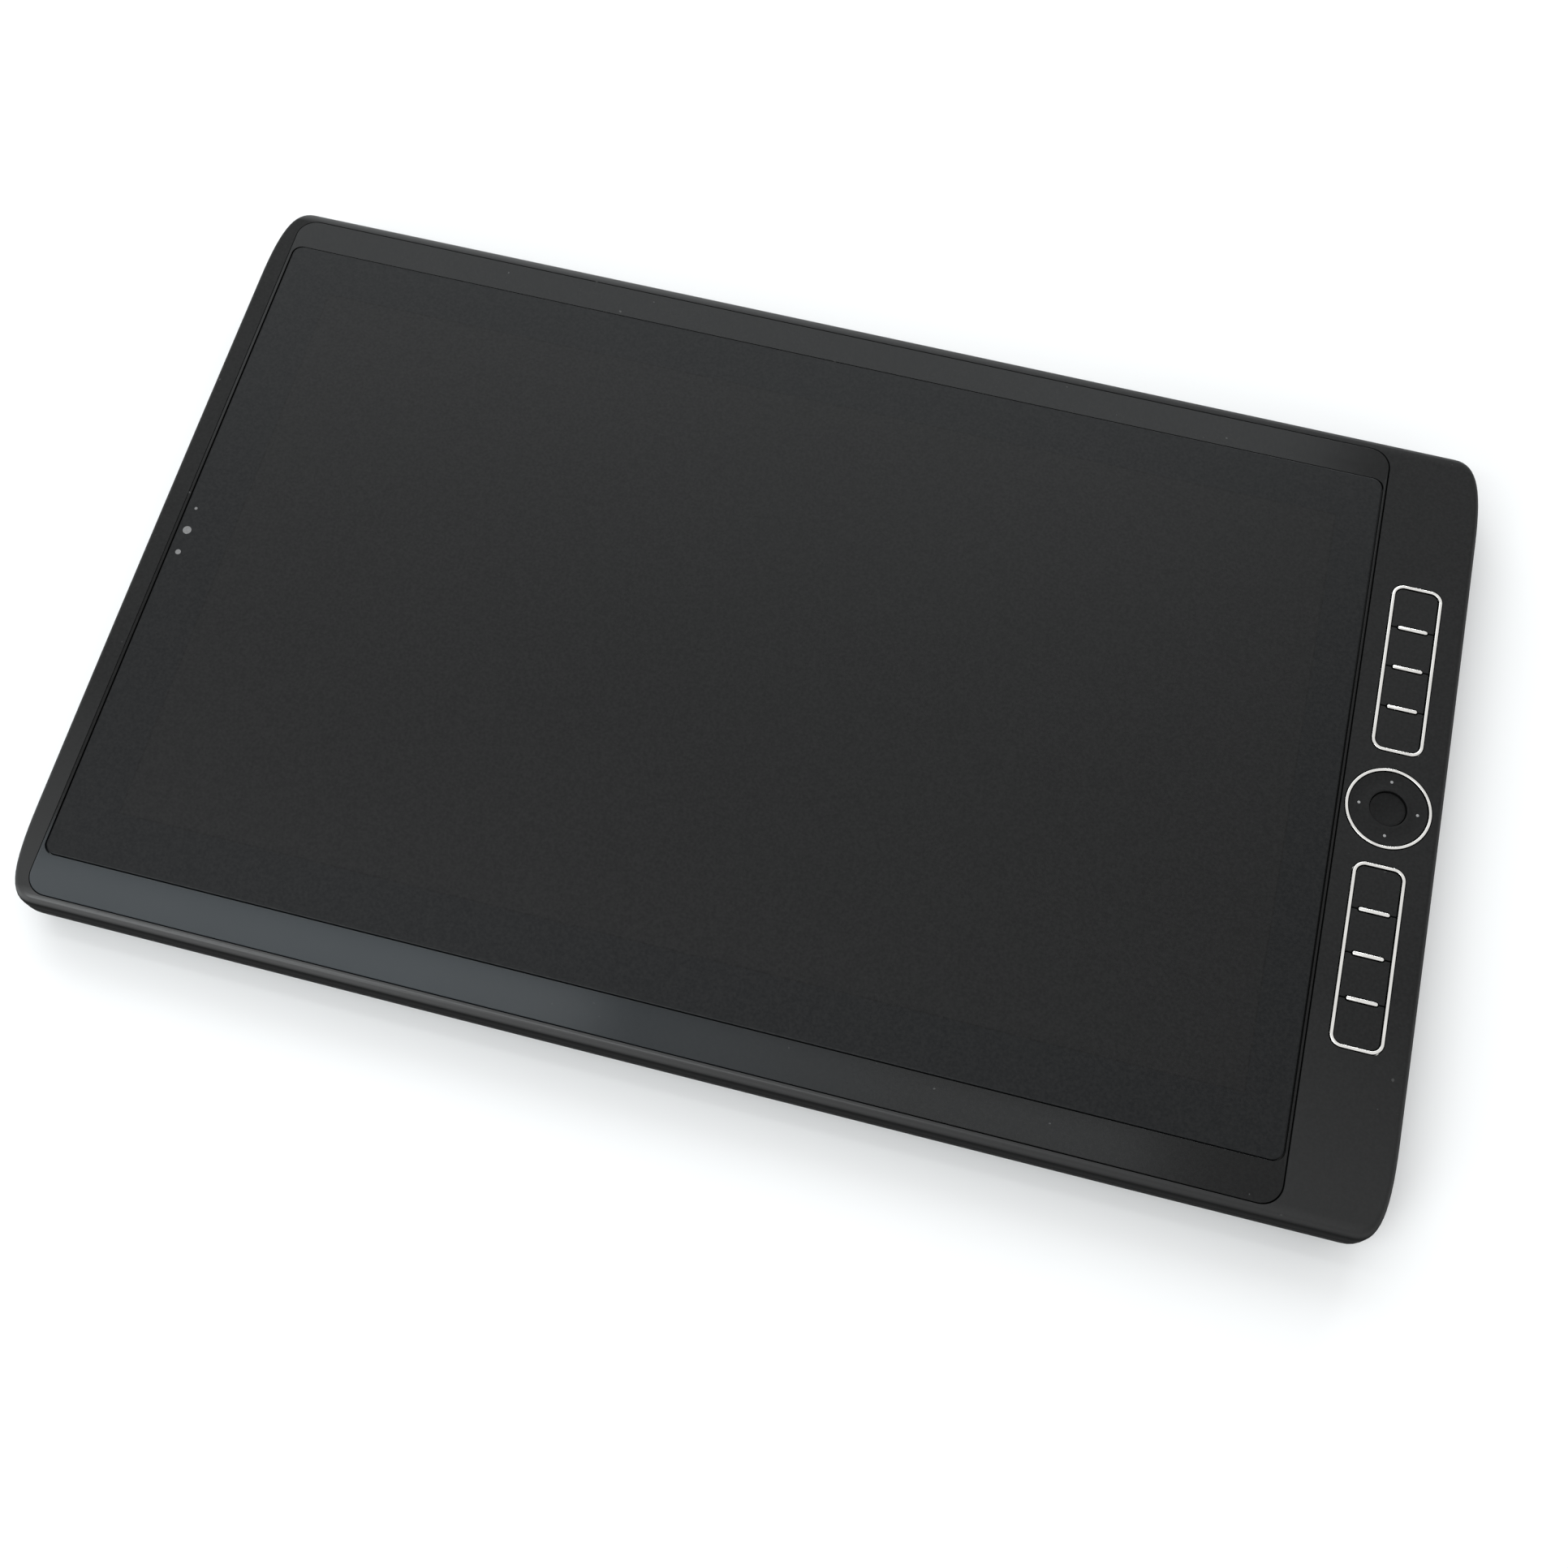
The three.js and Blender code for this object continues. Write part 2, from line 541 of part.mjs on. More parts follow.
function rockerRing() {
  const { outer, inner, topZ, bottomZ } = rocker;
  const ring = turned([
    [inner, bottomZ],
    [outer, bottomZ],
    [outer, topZ - 0.3],
    [outer - 0.3, topZ],
    [(outer + inner) / 2, topZ - 0.2],
    [inner + 0.3, topZ],
    [inner, topZ - 0.3],
    [inner, bottomZ],
  ]);
  const middle = (outer + inner) / 2;
  const ridges = [-1, 1].map((side) => block(
    -0.6, 0.6, side * middle - 2, side * middle + 2, gimbal.topZ + clearance, bottomZ + 0.3));
  return join(ring, ...ridges);
}

function rockerGimbal() {
  const { outer, inner, topZ, bottomZ } = gimbal;
  const section = [[inner, bottomZ], [outer, bottomZ], [outer, topZ], [inner, topZ], [inner, bottomZ]];
  const ring = turned(section, 28);
  const middle = (outer + inner) / 2;
  const ridges = [-1, 1].map((side) => block(
    side * middle - 2, side * middle + 2, -0.6, 0.6, keyBoard.topZ + clearance, bottomZ + 0.3));
  return join(ring, ...ridges);
}

function homeButton() {
  const { radius, topZ, dish, skirtZ, stemZ, stemRadius } = home;
  const rim = radius - 0.5;
  const bowl = [1, 0.7, 0.35].map((share) => [rim * share, topZ - dish * (1 - share ** 2)]);
  return turned([
    [0, stemZ],
    [stemRadius, stemZ],
    [stemRadius, skirtZ],
    [radius, skirtZ],
    [radius, topZ - 0.3],
    [radius - 0.15, topZ - 0.08],
    ...bowl,
    [0, topZ - dish],
  ], 28);
}

function keyBoardSheet() {
  const { width, depth, bottomZ, topZ, domeRadius, domeTopZ } = keyBoard;
  const sheet = pad(width, depth, 2, bottomZ, topZ);
  const dome = (y) => rod(domeRadius, topZ - 0.2, domeTopZ, 0, y, 14);
  const domes = keySeats().map(({ y }) => dome(y - column.y));
  return join(sheet, ...domes, rod(2.4, topZ - 0.2, domeTopZ, 0, 0, 14));
}

// Keys in reading order, from the far end of the column to the near end.
function keySeats() {
  return [1, -1].flatMap((side) => [3, 2, 1, 0].map((slot) => ({
    slot,
    y: groupCentre(side) + (slot - (keyGroup.keys - 1) / 2) * keyGroup.pitch,
  })));
}

// ---------------------------------------------------------------- edges: connectors and buttons
function usbPort() {
  const { width, height, depth } = usbPorts;
  const outer = pad(height, width, height / 2 - 0.01, -depth, 0, 0, 0, 2);
  const socket = pad(height - 0.7, width - 0.7, height / 2 - 0.36, -depth + 1, 1, 0, 0, 2);
  const tongue = pad(0.7, 6.6, 0.3, -depth + 0.5, -1);
  return join(cut(outer, socket), tongue);
}

function headphoneJack() {
  const barrel = rod(jack.radius, -jack.depth, 0, 0, 0, 24);
  return cut(barrel, rod(jack.bore, -jack.depth + 1, 1, 0, 0, 20));
}

function cardSlotShell() {
  const { width, height, depth } = cardSlot;
  const outer = pad(height, width, 0.5, -depth, 0);
  return cut(outer, pad(height - 0.8, width - 1.6, 0.3, -depth + 1, 1));
}

function edgeButton(width) {
  const { height, depth, proud } = edgeButtons;
  const cap = pad(width, height, height / 2 - 0.01, -depth + 1, proud, 0, 0, 2);
  const flange = pad(width + 2 * edgeButtons.flange, height + 2 * edgeButtons.flange, 1, -depth, -depth + 1);
  return join(cap, flange);
}

function lockKnob() {
  const { height, depth, proud, flange } = edgeButtons;
  const tailWidth = lockSlider.width + lockSlider.travel + 2 * flange;
  const knob = pad(lockSlider.width, height, height / 2 - 0.01, -depth, proud - 0.1, 0, 0, 2);
  const ribs = [-1, 0, 1].map((i) => block(i - 0.2, i + 0.2, -0.9, 0.9, proud - 0.3, proud));
  const tail = pad(tailWidth, height + 2 * flange, 1, -depth - 1, -depth);
  return join(knob, ...ribs, tail);
}

// ---------------------------------------------------------------- underside
function rubberFoot() {
  return pad(foot.length, foot.width, foot.width / 2 - 0.01, 0, foot.topZ, 0, 0, 3);
}

function coverScrew() {
  const head = rod(screws.headRadius, screwLevels.headBottomZ, screwLevels.headTopZ - clearance);
  const shank = rod(screws.shankRadius, screwLevels.headBottomZ, screws.topZ, 0, 0, 10);
  return cut(join(head, shank), rod(1.1, 0, screwLevels.headBottomZ + 0.6, 0, 0, 6));
}

function rearCameraWindow() {
  return rod(rearCamera.radius, rearCamera.bottomZ, rearCamera.topZ, 0, 0, 24);
}

// ---------------------------------------------------------------- assembly
const group = new THREE.Group();

function addPiece(name, geometry, [color, roughness, metalness], x = 0, y = 0) {
  const mesh = new THREE.Mesh(geometry, new THREE.MeshStandardMaterial({ color, roughness, metalness }));
  mesh.name = name;
  mesh.position.set(x, y, 0);
  group.add(mesh);
  return mesh;
}

const looks = {
  housing: [0x2b2c2b, 0.55, 0],
  bezel: [0x26282a, 0.4, 0],
  glass: [0x101214, 0.3, 0],
  keys: [0x202224, 0.45, 0],
  bright: [0xe8e8e4, 0.15, 1],
  board: [0x1f5a3c, 0.6, 0],
  foil: [0x3a3c40, 0.5, 0],
  magnesium: [0x9a9da0, 0.5, 0.9],
  copper: [0xb4693a, 0.35, 1],
  steel: [0xb8babc, 0.3, 1],
  black: [0x161718, 0.6, 0],
  rubber: [0x1a1a1a, 0.85, 0],
};

addPiece('rear_cover', rearCover(), looks.housing);
addPiece('top_housing', topHousing(), looks.housing);
addPiece('front_bezel', frontBezel(), looks.bezel);
addPiece('cover_glass', coverGlass(), looks.glass);
addPiece('lcd_module', lcdModule(), looks.steel);
addPiece('pen_sensor_board', penSensorBoard(), looks.board);
addPiece('chassis_frame', chassisFrame(), looks.magnesium);
addPiece('main_board', mainBoard(), looks.board);
battery.centres.forEach((x, i) => {
  const cell = pad(battery.width, battery.depth, 2, battery.bottomZ, battery.topZ);
  addPiece(`battery_${i + 1}`, cell, looks.foil, x, battery.front + battery.depth / 2);
});
addPiece('fan_housing', fanHousing(), looks.black);
addPiece('fan_rotor', fanRotor(), looks.black, fan.x, fan.y);
addPiece('heat_sink', heatSink(), looks.copper);
addPiece('heat_pipe', heatPipe(), looks.copper);
addPiece('heat_spreader', heatSpreader(), looks.copper);
[-1, 1].forEach((side) => {
  const name = side < 0 ? 'speaker_left' : 'speaker_right';
  addPiece(name, speakerBox(), looks.black, screen.x + side * speaker.reach, speaker.y);
});
addPiece('front_camera_module', frontCameraModule(), looks.black);

addPiece('key_board', keyBoardSheet(), looks.board, column.x, column.y);
addPiece('upper_key_trim', keyTrim(), looks.bright, column.x, groupCentre(1));
addPiece('lower_key_trim', keyTrim(), looks.bright, column.x, groupCentre(-1));
addPiece('rocker_trim', rockerTrim(), looks.bright, column.x, column.y);
keySeats().forEach(({ slot, y }, i) => {
  addPiece(`key_${i + 1}`, keyCap(slot), looks.keys, column.x, y);
});
[1, -1].forEach((side) => {
  [1, 0, -1].forEach((step, i) => {
    const number = (side > 0 ? 1 : 4) + i;
    const y = groupCentre(side) + step * keyGroup.pitch;
    addPiece(`divider_bar_${number}`, dividerBar(), looks.bright, column.x, y);
  });
});
addPiece('rocker_ring', rockerRing(), looks.keys, column.x, column.y);
addPiece('rocker_gimbal', rockerGimbal(), looks.black, column.x, column.y);
addPiece('home_button', homeButton(), looks.keys, column.x, column.y);

usbPorts.along.forEach((along, i) => {
  addPiece(`usb_c_port_${i + 1}`, usbPort(), looks.steel)
    .applyMatrix4(outOf('right', along, sidePart.z, sidePart.mouth));
});
addPiece('headphone_jack', headphoneJack(), looks.black)
  .applyMatrix4(outOf('right', jack.along, sidePart.z, sidePart.mouth));
addPiece('card_slot', cardSlotShell(), looks.steel)
  .applyMatrix4(outOf('left', cardSlot.along, sidePart.z, sidePart.mouth));
addPiece('power_button', edgeButton(powerButton.width), looks.bright)
  .applyMatrix4(outOf('back', powerButton.along, edgeButtons.z, 0.5));
['volume_up_button', 'volume_down_button'].forEach((name, i) => {
  addPiece(name, edgeButton(volumeButtons.width), looks.keys)
    .applyMatrix4(outOf('back', volumeButtons.along[i], edgeButtons.z, 0.5));
});
addPiece('rotation_lock_slider', lockKnob(), looks.keys)
  .applyMatrix4(outOf('back', lockSlider.along, edgeButtons.z, 0.5));

footPlaces().forEach(([x, y], i) => {
  addPiece(`foot_${i + 1}`, rubberFoot(), looks.rubber, x, y);
});
screwPlaces().forEach(([x, y], i) => {
  addPiece(`cover_screw_${i + 1}`, coverScrew(), looks.steel, x, y);
});
addPiece('rear_camera_window', rearCameraWindow(), looks.glass, rearCamera.x, rearCamera.y);

export default group;
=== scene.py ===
import json
import math
from types import SimpleNamespace

import bmesh
import bpy
from mathutils import Matrix, Vector
from mathutils.geometry import interpolate_bezier, tessellate_polygon

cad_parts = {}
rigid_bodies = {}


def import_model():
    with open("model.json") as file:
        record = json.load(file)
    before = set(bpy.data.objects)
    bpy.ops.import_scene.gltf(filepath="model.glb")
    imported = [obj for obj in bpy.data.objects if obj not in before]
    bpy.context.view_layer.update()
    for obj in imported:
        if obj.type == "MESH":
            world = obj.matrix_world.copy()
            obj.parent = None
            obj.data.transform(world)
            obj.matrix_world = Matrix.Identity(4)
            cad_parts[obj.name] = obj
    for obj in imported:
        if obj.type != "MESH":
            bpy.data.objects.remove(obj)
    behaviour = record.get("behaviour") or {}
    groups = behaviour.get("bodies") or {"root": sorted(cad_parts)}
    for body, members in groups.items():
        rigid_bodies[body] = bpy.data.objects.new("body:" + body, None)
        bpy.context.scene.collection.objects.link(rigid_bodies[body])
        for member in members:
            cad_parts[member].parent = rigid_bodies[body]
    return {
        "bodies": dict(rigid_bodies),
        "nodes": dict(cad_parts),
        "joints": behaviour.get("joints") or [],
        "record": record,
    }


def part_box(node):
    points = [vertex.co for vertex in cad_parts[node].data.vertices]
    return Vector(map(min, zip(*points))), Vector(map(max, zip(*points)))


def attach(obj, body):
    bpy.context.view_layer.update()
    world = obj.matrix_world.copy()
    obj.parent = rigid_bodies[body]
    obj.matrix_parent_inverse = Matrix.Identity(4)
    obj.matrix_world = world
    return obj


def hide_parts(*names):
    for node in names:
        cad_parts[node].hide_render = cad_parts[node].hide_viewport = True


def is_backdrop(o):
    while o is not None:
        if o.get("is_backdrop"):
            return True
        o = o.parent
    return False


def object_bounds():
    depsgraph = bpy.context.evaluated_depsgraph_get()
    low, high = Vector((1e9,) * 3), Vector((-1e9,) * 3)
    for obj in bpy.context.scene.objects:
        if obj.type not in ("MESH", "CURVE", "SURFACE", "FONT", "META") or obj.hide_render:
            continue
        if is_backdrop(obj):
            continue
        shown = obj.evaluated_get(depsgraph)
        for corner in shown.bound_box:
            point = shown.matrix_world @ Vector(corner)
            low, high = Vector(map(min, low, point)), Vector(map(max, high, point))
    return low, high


mm = 0.001  # drawn in millimetres, made in metres
sharpAngle = 32  # degrees: an edge turned further than this stays sharp
roundSteps = 96  # sides of the large circles

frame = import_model()
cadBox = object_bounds()
print("frame loaded:", len(frame["nodes"]), "nodes")


def span(node):
    # the sides of a frame node, in millimetres
    low, high = (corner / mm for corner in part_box(node))
    return SimpleNamespace(
        left=low.x, front=low.y, low=low.z, right=high.x, back=high.y, high=high.z,
        x=(low.x + high.x) / 2, y=(low.y + high.y) / 2, z=(low.z + high.z) / 2,
        width=high.x - low.x, depth=high.y - low.y, height=high.z - low.z,
    )


# shapes are rings of points, stepped in and up along an edge profile

def loopOf(bm, points, z):
    return [bm.verts.new((x * mm, y * mm, z * mm)) for x, y in points]


def stack(bm, loops):
    for lower, upper in zip(loops, loops[1:]):
        for i in range(len(lower)):
            j = (i + 1) % len(lower)
            bm.faces.new((lower[i], lower[j], upper[j], upper[i]))


def climb(bm, ring, profile):
    # skins a ring at each (inset, height) of the profile, and gives back the end loops
    loops = [loopOf(bm, ring(inset), z) for inset, z in profile]
    stack(bm, loops)
    return loops[0], loops[-1]


def hoop(bm, ring, section):
    # a closed section carried round a ring, as in a trim
    loops = [loopOf(bm, ring(inset), z) for inset, z in section]
    stack(bm, loops + loops[:1])


def cap(bm, *loops):
    # a flat face with holes: the first loop is its edge
    verts = [vert for loop in loops for vert in loop]
    for triangle in tessellate_polygon([[vert.co for vert in loop] for loop in loops]):
        bm.faces.new([verts[i] for i in triangle])


def closed(bm, ring, profile):
    for loop in climb(bm, ring, profile):
        cap(bm, loop)


def roundedRect(left, right, front, back, radius, steps=8):
    def ring(inset):
        r = max(radius - inset, 0.02)
        x, y = right - inset - r, back - inset - r
        u, v = left + inset + r, front + inset + r
        points = []
        for quarter, (cx, cy) in enumerate(((x, y), (u, y), (u, v), (x, v))):
            for step in range(steps + 1):
                angle = (quarter + step / steps) * math.pi / 2
                points.append((cx + r * math.cos(angle), cy + r * math.sin(angle)))
        return points
    return ring


def centred(width, depth, radius, x=0, y=0, steps=8):
    return roundedRect(x - width / 2, x + width / 2, y - depth / 2, y + depth / 2, radius, steps)


def pill(length, width, x=0, y=0, steps=8):
    # a bar with round ends, a hair short of full half circles
    return centred(length, width, width / 2 - 0.01, x, y, steps)


def circle(radius, x=0, y=0, steps=64):
    def ring(inset):
        r = radius - inset
        angles = (2 * math.pi * i / steps for i in range(steps))
        return [(x + r * math.cos(a), y + r * math.sin(a)) for a in angles]
    return ring


def traced(points):
    # any outline, counterclockwise, stepped in along its own normals
    def ring(inset):
        stepped = []
        for i, point in enumerate(points):
            here = Vector(point)
            before = (here - Vector(points[i - 1])).normalized()
            after = (Vector(points[(i + 1) % len(points)]) - here).normalized()
            normal = Vector((-before.y - after.y, before.x + after.x)).normalized()
            reach = inset / max(0.3, normal.dot(Vector((-after.y, after.x))))
            stepped.append((here.x + normal.x * reach, here.y + normal.y * reach))
        return stepped
    return ring


def rounding(radius, high, steps=3):
    # quarter round from the side of a piece on to its top
    angles = [math.pi / 2 * i / steps for i in range(steps + 1)]
    return [(radius * (1 - math.cos(a)), high - radius * (1 - math.sin(a))) for a in angles]


def shade(bm, crease):
    for face in bm.faces:
        face.smooth = True
    for edge in bm.edges:
        edge.smooth = edge.calc_face_angle(math.pi) < math.radians(crease)


def evenOut(piece):
    piece.modifiers.new("evenShading", "WEIGHTED_NORMAL").keep_sharp = True


def asPiece(bm, name, material, crease=sharpAngle):
    bmesh.ops.remove_doubles(bm, verts=bm.verts, dist=1e-7)
    bmesh.ops.dissolve_degenerate(bm, edges=bm.edges, dist=1e-8)
    bmesh.ops.recalc_face_normals(bm, faces=bm.faces)
    shade(bm, crease)
    mesh = bpy.data.meshes.new(name)
    bm.to_mesh(mesh)
    bm.free()
    mesh.materials.append(material)
    piece = bpy.data.objects.new(name, mesh)
    bpy.context.scene.collection.objects.link(piece)
    evenOut(piece)
    return piece


def settle(piece):
    # takes the result of the modifiers as the piece's own mesh
    graph = bpy.context.evaluated_depsgraph_get()
    mesh = bpy.data.meshes.new_from_object(piece.evaluated_get(graph))
    piece.modifiers.clear()
    piece.data = mesh


def hand(piece, body, slot, *nodes):
    # what the frame has to know of a finished piece
    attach(piece, body)
    if nodes:
        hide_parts(*nodes)


# shader maths in plain expressions

class Wire:
    def __init__(self, paint, socket):
        self.paint, self.socket = paint, socket

    def maths(self, operation, *others):
        return self.paint.maths(operation, self, *others)

    def __add__(self, other):
        return self.maths("ADD", other)

    def __sub__(self, other):
        return self.maths("SUBTRACT", other)

    def __rsub__(self, other):
        return self.paint.maths("SUBTRACT", other, self)

    def __mul__(self, other):
        return self.maths("MULTIPLY", other)

    __radd__, __rmul__ = __add__, __mul__

    def __abs__(self):
        return self.maths("ABSOLUTE")


class Paint:
    # nodes of one tree, all from add(): type, settings, then values or links
    def __init__(self, owner):
        owner.use_nodes = True
        self.tree = owner.node_tree
        self.tree.nodes.clear()

    def add(self, kind, settings=None, values=None, out=0):
        node = self.tree.nodes.new(kind)
        for name, value in (settings or {}).items():
            setattr(node, name, value)
        for key, value in (values or {}).items():
            if isinstance(value, Wire):
                self.tree.links.new(value.socket, node.inputs[key])
            else:
                node.inputs[key].default_value = value
        return Wire(self, node.outputs[out]) if out is not None else None

    def maths(self, operation, *values):
        return self.add("ShaderNodeMath", {"operation": operation}, dict(enumerate(values)))

    def axes(self):
        place = self.add("ShaderNodeTexCoord", out="Object")
        split = self.add("ShaderNodeSeparateXYZ", values={0: place}).socket.node
        return [Wire(self, output) for output in split.outputs]

    def noise(self, grain, detail=2, stretch=(1, 1, 1)):
        # cloudy noise whose lumps are about grain millimetres across
        place = self.add("ShaderNodeTexCoord", out="Object")
        where = self.add("ShaderNodeMapping", values={"Vector": place, "Scale": stretch})
        values = {"Vector": where, "Scale": 1 / (grain * mm), "Detail": detail}
        return self.add("ShaderNodeTexNoise", values=values)

    def mix(self, factor, first, second):
        values = {0: factor, 6: first, 7: second}
        return self.add("ShaderNodeMix", {"data_type": "RGBA"}, values, 2)

    def level(self, factor, low, high, to=(0, 1)):
        values = {0: factor, 1: low, 2: high, 3: to[0], 4: to[1]}
        return self.add("ShaderNodeMapRange", values=values)

    def bump(self, height, depth, strength):
        # height in 0 to 1 stands for depth millimetres
        values = {"Height": height, "Strength": strength, "Distance": depth * mm}
        return self.add("ShaderNodeBump", values=values)


shaderSockets = {
    "colour": "Base Color", "rough": "Roughness", "normal": "Normal", "metallic": "Metallic",
    "gloss": "Specular IOR Level", "coat": "Coat Weight", "coatRough": "Coat Roughness",
}


class Finish(Paint):
    # a material on one principled shader, with what is uniform set on its own sockets
    def __init__(self, name, **uniform):
        self.material = bpy.data.materials.new(name)
        super().__init__(self.material)
        self.uniform = uniform

    def done(self, **links):
        inputs = {**self.uniform, **links}
        values = {shaderSockets[name]: value for name, value in inputs.items()}
        shader = self.add("ShaderNodeBsdfPrincipled", values=values)
        self.add("ShaderNodeOutputMaterial", values={0: shader}, out=None)
        return self.material


def grey(level, tint=0.0):
    # tint above zero is cool, below zero is warm
    return (level * (1 - tint), level, level * (1 + tint), 1)


# the moulded and painted surfaces

# sizes of the lumps in a surface, in millimetres, and the tones mixed in
mottled = {"lumps": 0.9, "range": (0.3, 0.7), "tone": grey(0.02)}
dusty = {"lumps": 1.6, "range": (0.86, 0.89), "tone": grey(0.16)}
cloudy = {"lumps": 60, "range": (0.3, 0.7)}


def grained(name, look):
    # moulded plastic: fine grain and mottle, faint cloudiness and a few specks of dust, and where
    # a look asks for them painted shade on the wall and a painted highlight
    paint = Finish(name, gloss=look["gloss"], coatRough=0.3)
    grain = paint.noise(look["grain"], detail=3)
    cloud = paint.noise(cloudy["lumps"], detail=4)
    speck = paint.level(paint.noise(dusty["lumps"], detail=0), *dusty["range"])
    mottle = paint.level(paint.noise(mottled["lumps"], detail=2), *mottled["range"])
    colour = paint.mix(paint.level(cloud, *cloudy["range"]), grey(look["dark"], look["tint"]),
                       grey(look["pale"], look["tint"]))
    colour = paint.mix(mottle * look["mottle"], colour, mottled["tone"])
    colour = paint.mix(speck * look["dust"], colour, dusty["tone"])
    rough = paint.level(grain * 0.6 + cloud * 0.4, 0.2, 0.8, look["rough"])
    links = {}
    x, y, z = paint.axes()
    if "paintedHighlightSpan" in look:
        # painted highlight, paler towards the front left: across from one x to another, and on
        # towards the near edge
        (fromX, toX), (fromY, toY) = look["paintedHighlightSpan"]
        paintedHighlight = paint.level(x, fromX * mm, toX * mm) * paint.level(y, fromY * mm, toY * mm)
        colour = paint.mix(paintedHighlight, colour, look["paintedHighlight"])
    if "wall" in look:
        # duller on the wall, where painted shade also darkens the colour, polished along the long
        # edges
        wall = paint.level(z, *(height * mm for height in look["wall"]))
        colour = paint.mix(wall, colour, grey(look["wallTone"]))
        rough = rough + wall * look["wallDull"]
        if "rim" in look:
            rim = paint.level(abs(y), *(reach * mm for reach in look["rim"]))
            fade = paint.level(x, *(place * mm for place in look["rimFade"]), look["rimCoat"])
            links["coat"] = rim * (1 - wall) * fade
    return paint.done(
        colour=colour,
        rough=rough,
        normal=paint.bump(grain, look["relief"], 0.5),
        **links,
    )


housingFinish = {
    "dark": 0.0062, "pale": 0.0084, "tint": 0.01, "gloss": 0.15, "rough": (0.5, 0.62),
    "grain": 0.4, "relief": 0.035, "mottle": 0.35, "dust": 0.25,
    # painted shade: the colour darkens down the wall
    "wall": (21.2, 19.3), "wallTone": 0.002, "wallDull": 0.4,
    "rim": (125, 127.6), "rimFade": (200, -100), "rimCoat": (0.2, 0.85),
    # painted highlight: the colour pales towards the front left
    "paintedHighlightSpan": ((500, -210), (-55, -120)), "paintedHighlight": grey(0.029),
}
bezelFinish = {
    "dark": 0.0029, "pale": 0.0043, "tint": 0.03, "gloss": 0.22, "rough": (0.12, 0.16),
    "grain": 0.25, "relief": 0.004, "mottle": 0.2, "dust": 0.3,
    # painted reflection: a paler, cooler patch towards the front left
    "paintedHighlightSpan": ((70, -80), (-100, -116)), "paintedHighlight": (0.017, 0.0215, 0.025, 1),
}
coverFinish = {
    "dark": 0.018, "pale": 0.024, "tint": 0.0, "gloss": 0.15, "rough": (0.5, 0.62),
    "grain": 0.45, "relief": 0.04, "mottle": 0.35, "dust": 0.1,
    # painted shade: the colour darkens up the side wall, away from the underside
    "wall": (1.5, 4), "wallTone": 0.007, "wallDull": 0.4,
}
keyFinish = {
    "dark": 0.0036, "pale": 0.0048, "tint": 0.02, "gloss": 0.19, "rough": (0.42, 0.52),
    "grain": 0.2, "relief": 0.008, "mottle": 0.3, "dust": 0.15,
}
ringFinish = {
    "dark": 0.0029, "pale": 0.0039, "tint": 0.02, "gloss": 0.17, "rough": (0.46, 0.56),
    "grain": 0.2, "relief": 0.008, "mottle": 0.25, "dust": 0.05,
}
buttonFinish = {
    "dark": 0.0014, "pale": 0.0022, "tint": 0.02, "gloss": 0.15, "rough": (0.44, 0.54),
    "grain": 0.2, "relief": 0.006, "mottle": 0.2, "dust": 0.05,
}
innerFinish = {
    "dark": 0.008, "pale": 0.013, "tint": 0.0, "gloss": 0.35, "rough": (0.5, 0.65),
    "grain": 0.5, "relief": 0.03, "mottle": 0.1, "dust": 0.0,
}
housingPlastic = grained("housingPlastic", housingFinish)
bezelPlastic = grained("bezelPlastic", bezelFinish)
coverPlastic = grained("coverPlastic", coverFinish)
keyPlastic = grained("keyPlastic", keyFinish)
ringPlastic = grained("ringPlastic", ringFinish)
buttonPlastic = grained("buttonPlastic", buttonFinish)
innerPlastic = grained("innerPlastic", innerFinish)

glassFinish = {
    "active": grey(0.0049, 0.03), "smear": grey(0.0071, 0.03), "border": grey(0.0041, 0.15),
    "line": grey(0.001), "lineWidth": 0.4, "mottle": 0.35, "gloss": 0.18, "rough": (0.31, 0.38),
}


def etchedGlass(screen, look):
    # matt glass over a dark display, with the printed border round the picture area
    paint = Finish("etchedGlass", gloss=look["gloss"])
    x, y, _ = paint.axes()
    sideways = abs(x - screen["x"] * mm) - screen["width"] / 2 * mm
    lengthways = abs(y - screen["y"] * mm) - screen["depth"] / 2 * mm
    outside = sideways.maths("MAXIMUM", lengthways)
    border = paint.level(outside, 0, 0.05 * mm)
    line = 1 - paint.level(abs(outside), 0, look["lineWidth"] * mm)
    smear = paint.noise(45, detail=5)
    active = paint.mix(smear * 0.3, look["active"], look["smear"])
    tone = paint.mix(line * 0.8, paint.mix(border, active, look["border"]), look["line"])
    sparkle = paint.noise(0.12, detail=1)
    mottle = paint.level(paint.noise(mottled["lumps"], detail=2), *mottled["range"])
    return paint.done(
        colour=paint.mix(mottle * look["mottle"], tone, mottled["tone"]),
        rough=paint.level(sparkle * 0.4 + smear * 0.6, 0.25, 0.75, look["rough"]),
        normal=paint.bump(sparkle, 0.002, 0.4),
    )


screen = {"x": span("lcd_module").x, "y": span("lcd_module").y, "width": 345.6, "depth": 194.4}
screenGlass = etchedGlass(screen, glassFinish)


def metal(name, pale, dark, rough, grain=0.4, stretch=(1, 1, 1), relief=0.004):
    # brushed, cast or polished metal, by grain, stretch and roughness
    paint = Finish(name, metallic=1.0)
    streak = paint.noise(grain, 4, stretch)
    smudge = paint.noise(9, 3)
    return paint.done(
        colour=paint.mix(paint.level(smudge, 0.35, 0.7), pale, dark),
        rough=paint.level(streak * 0.6 + smudge * 0.4, 0.25, 0.75, rough),
        normal=paint.bump(streak, relief, 0.3),
    )


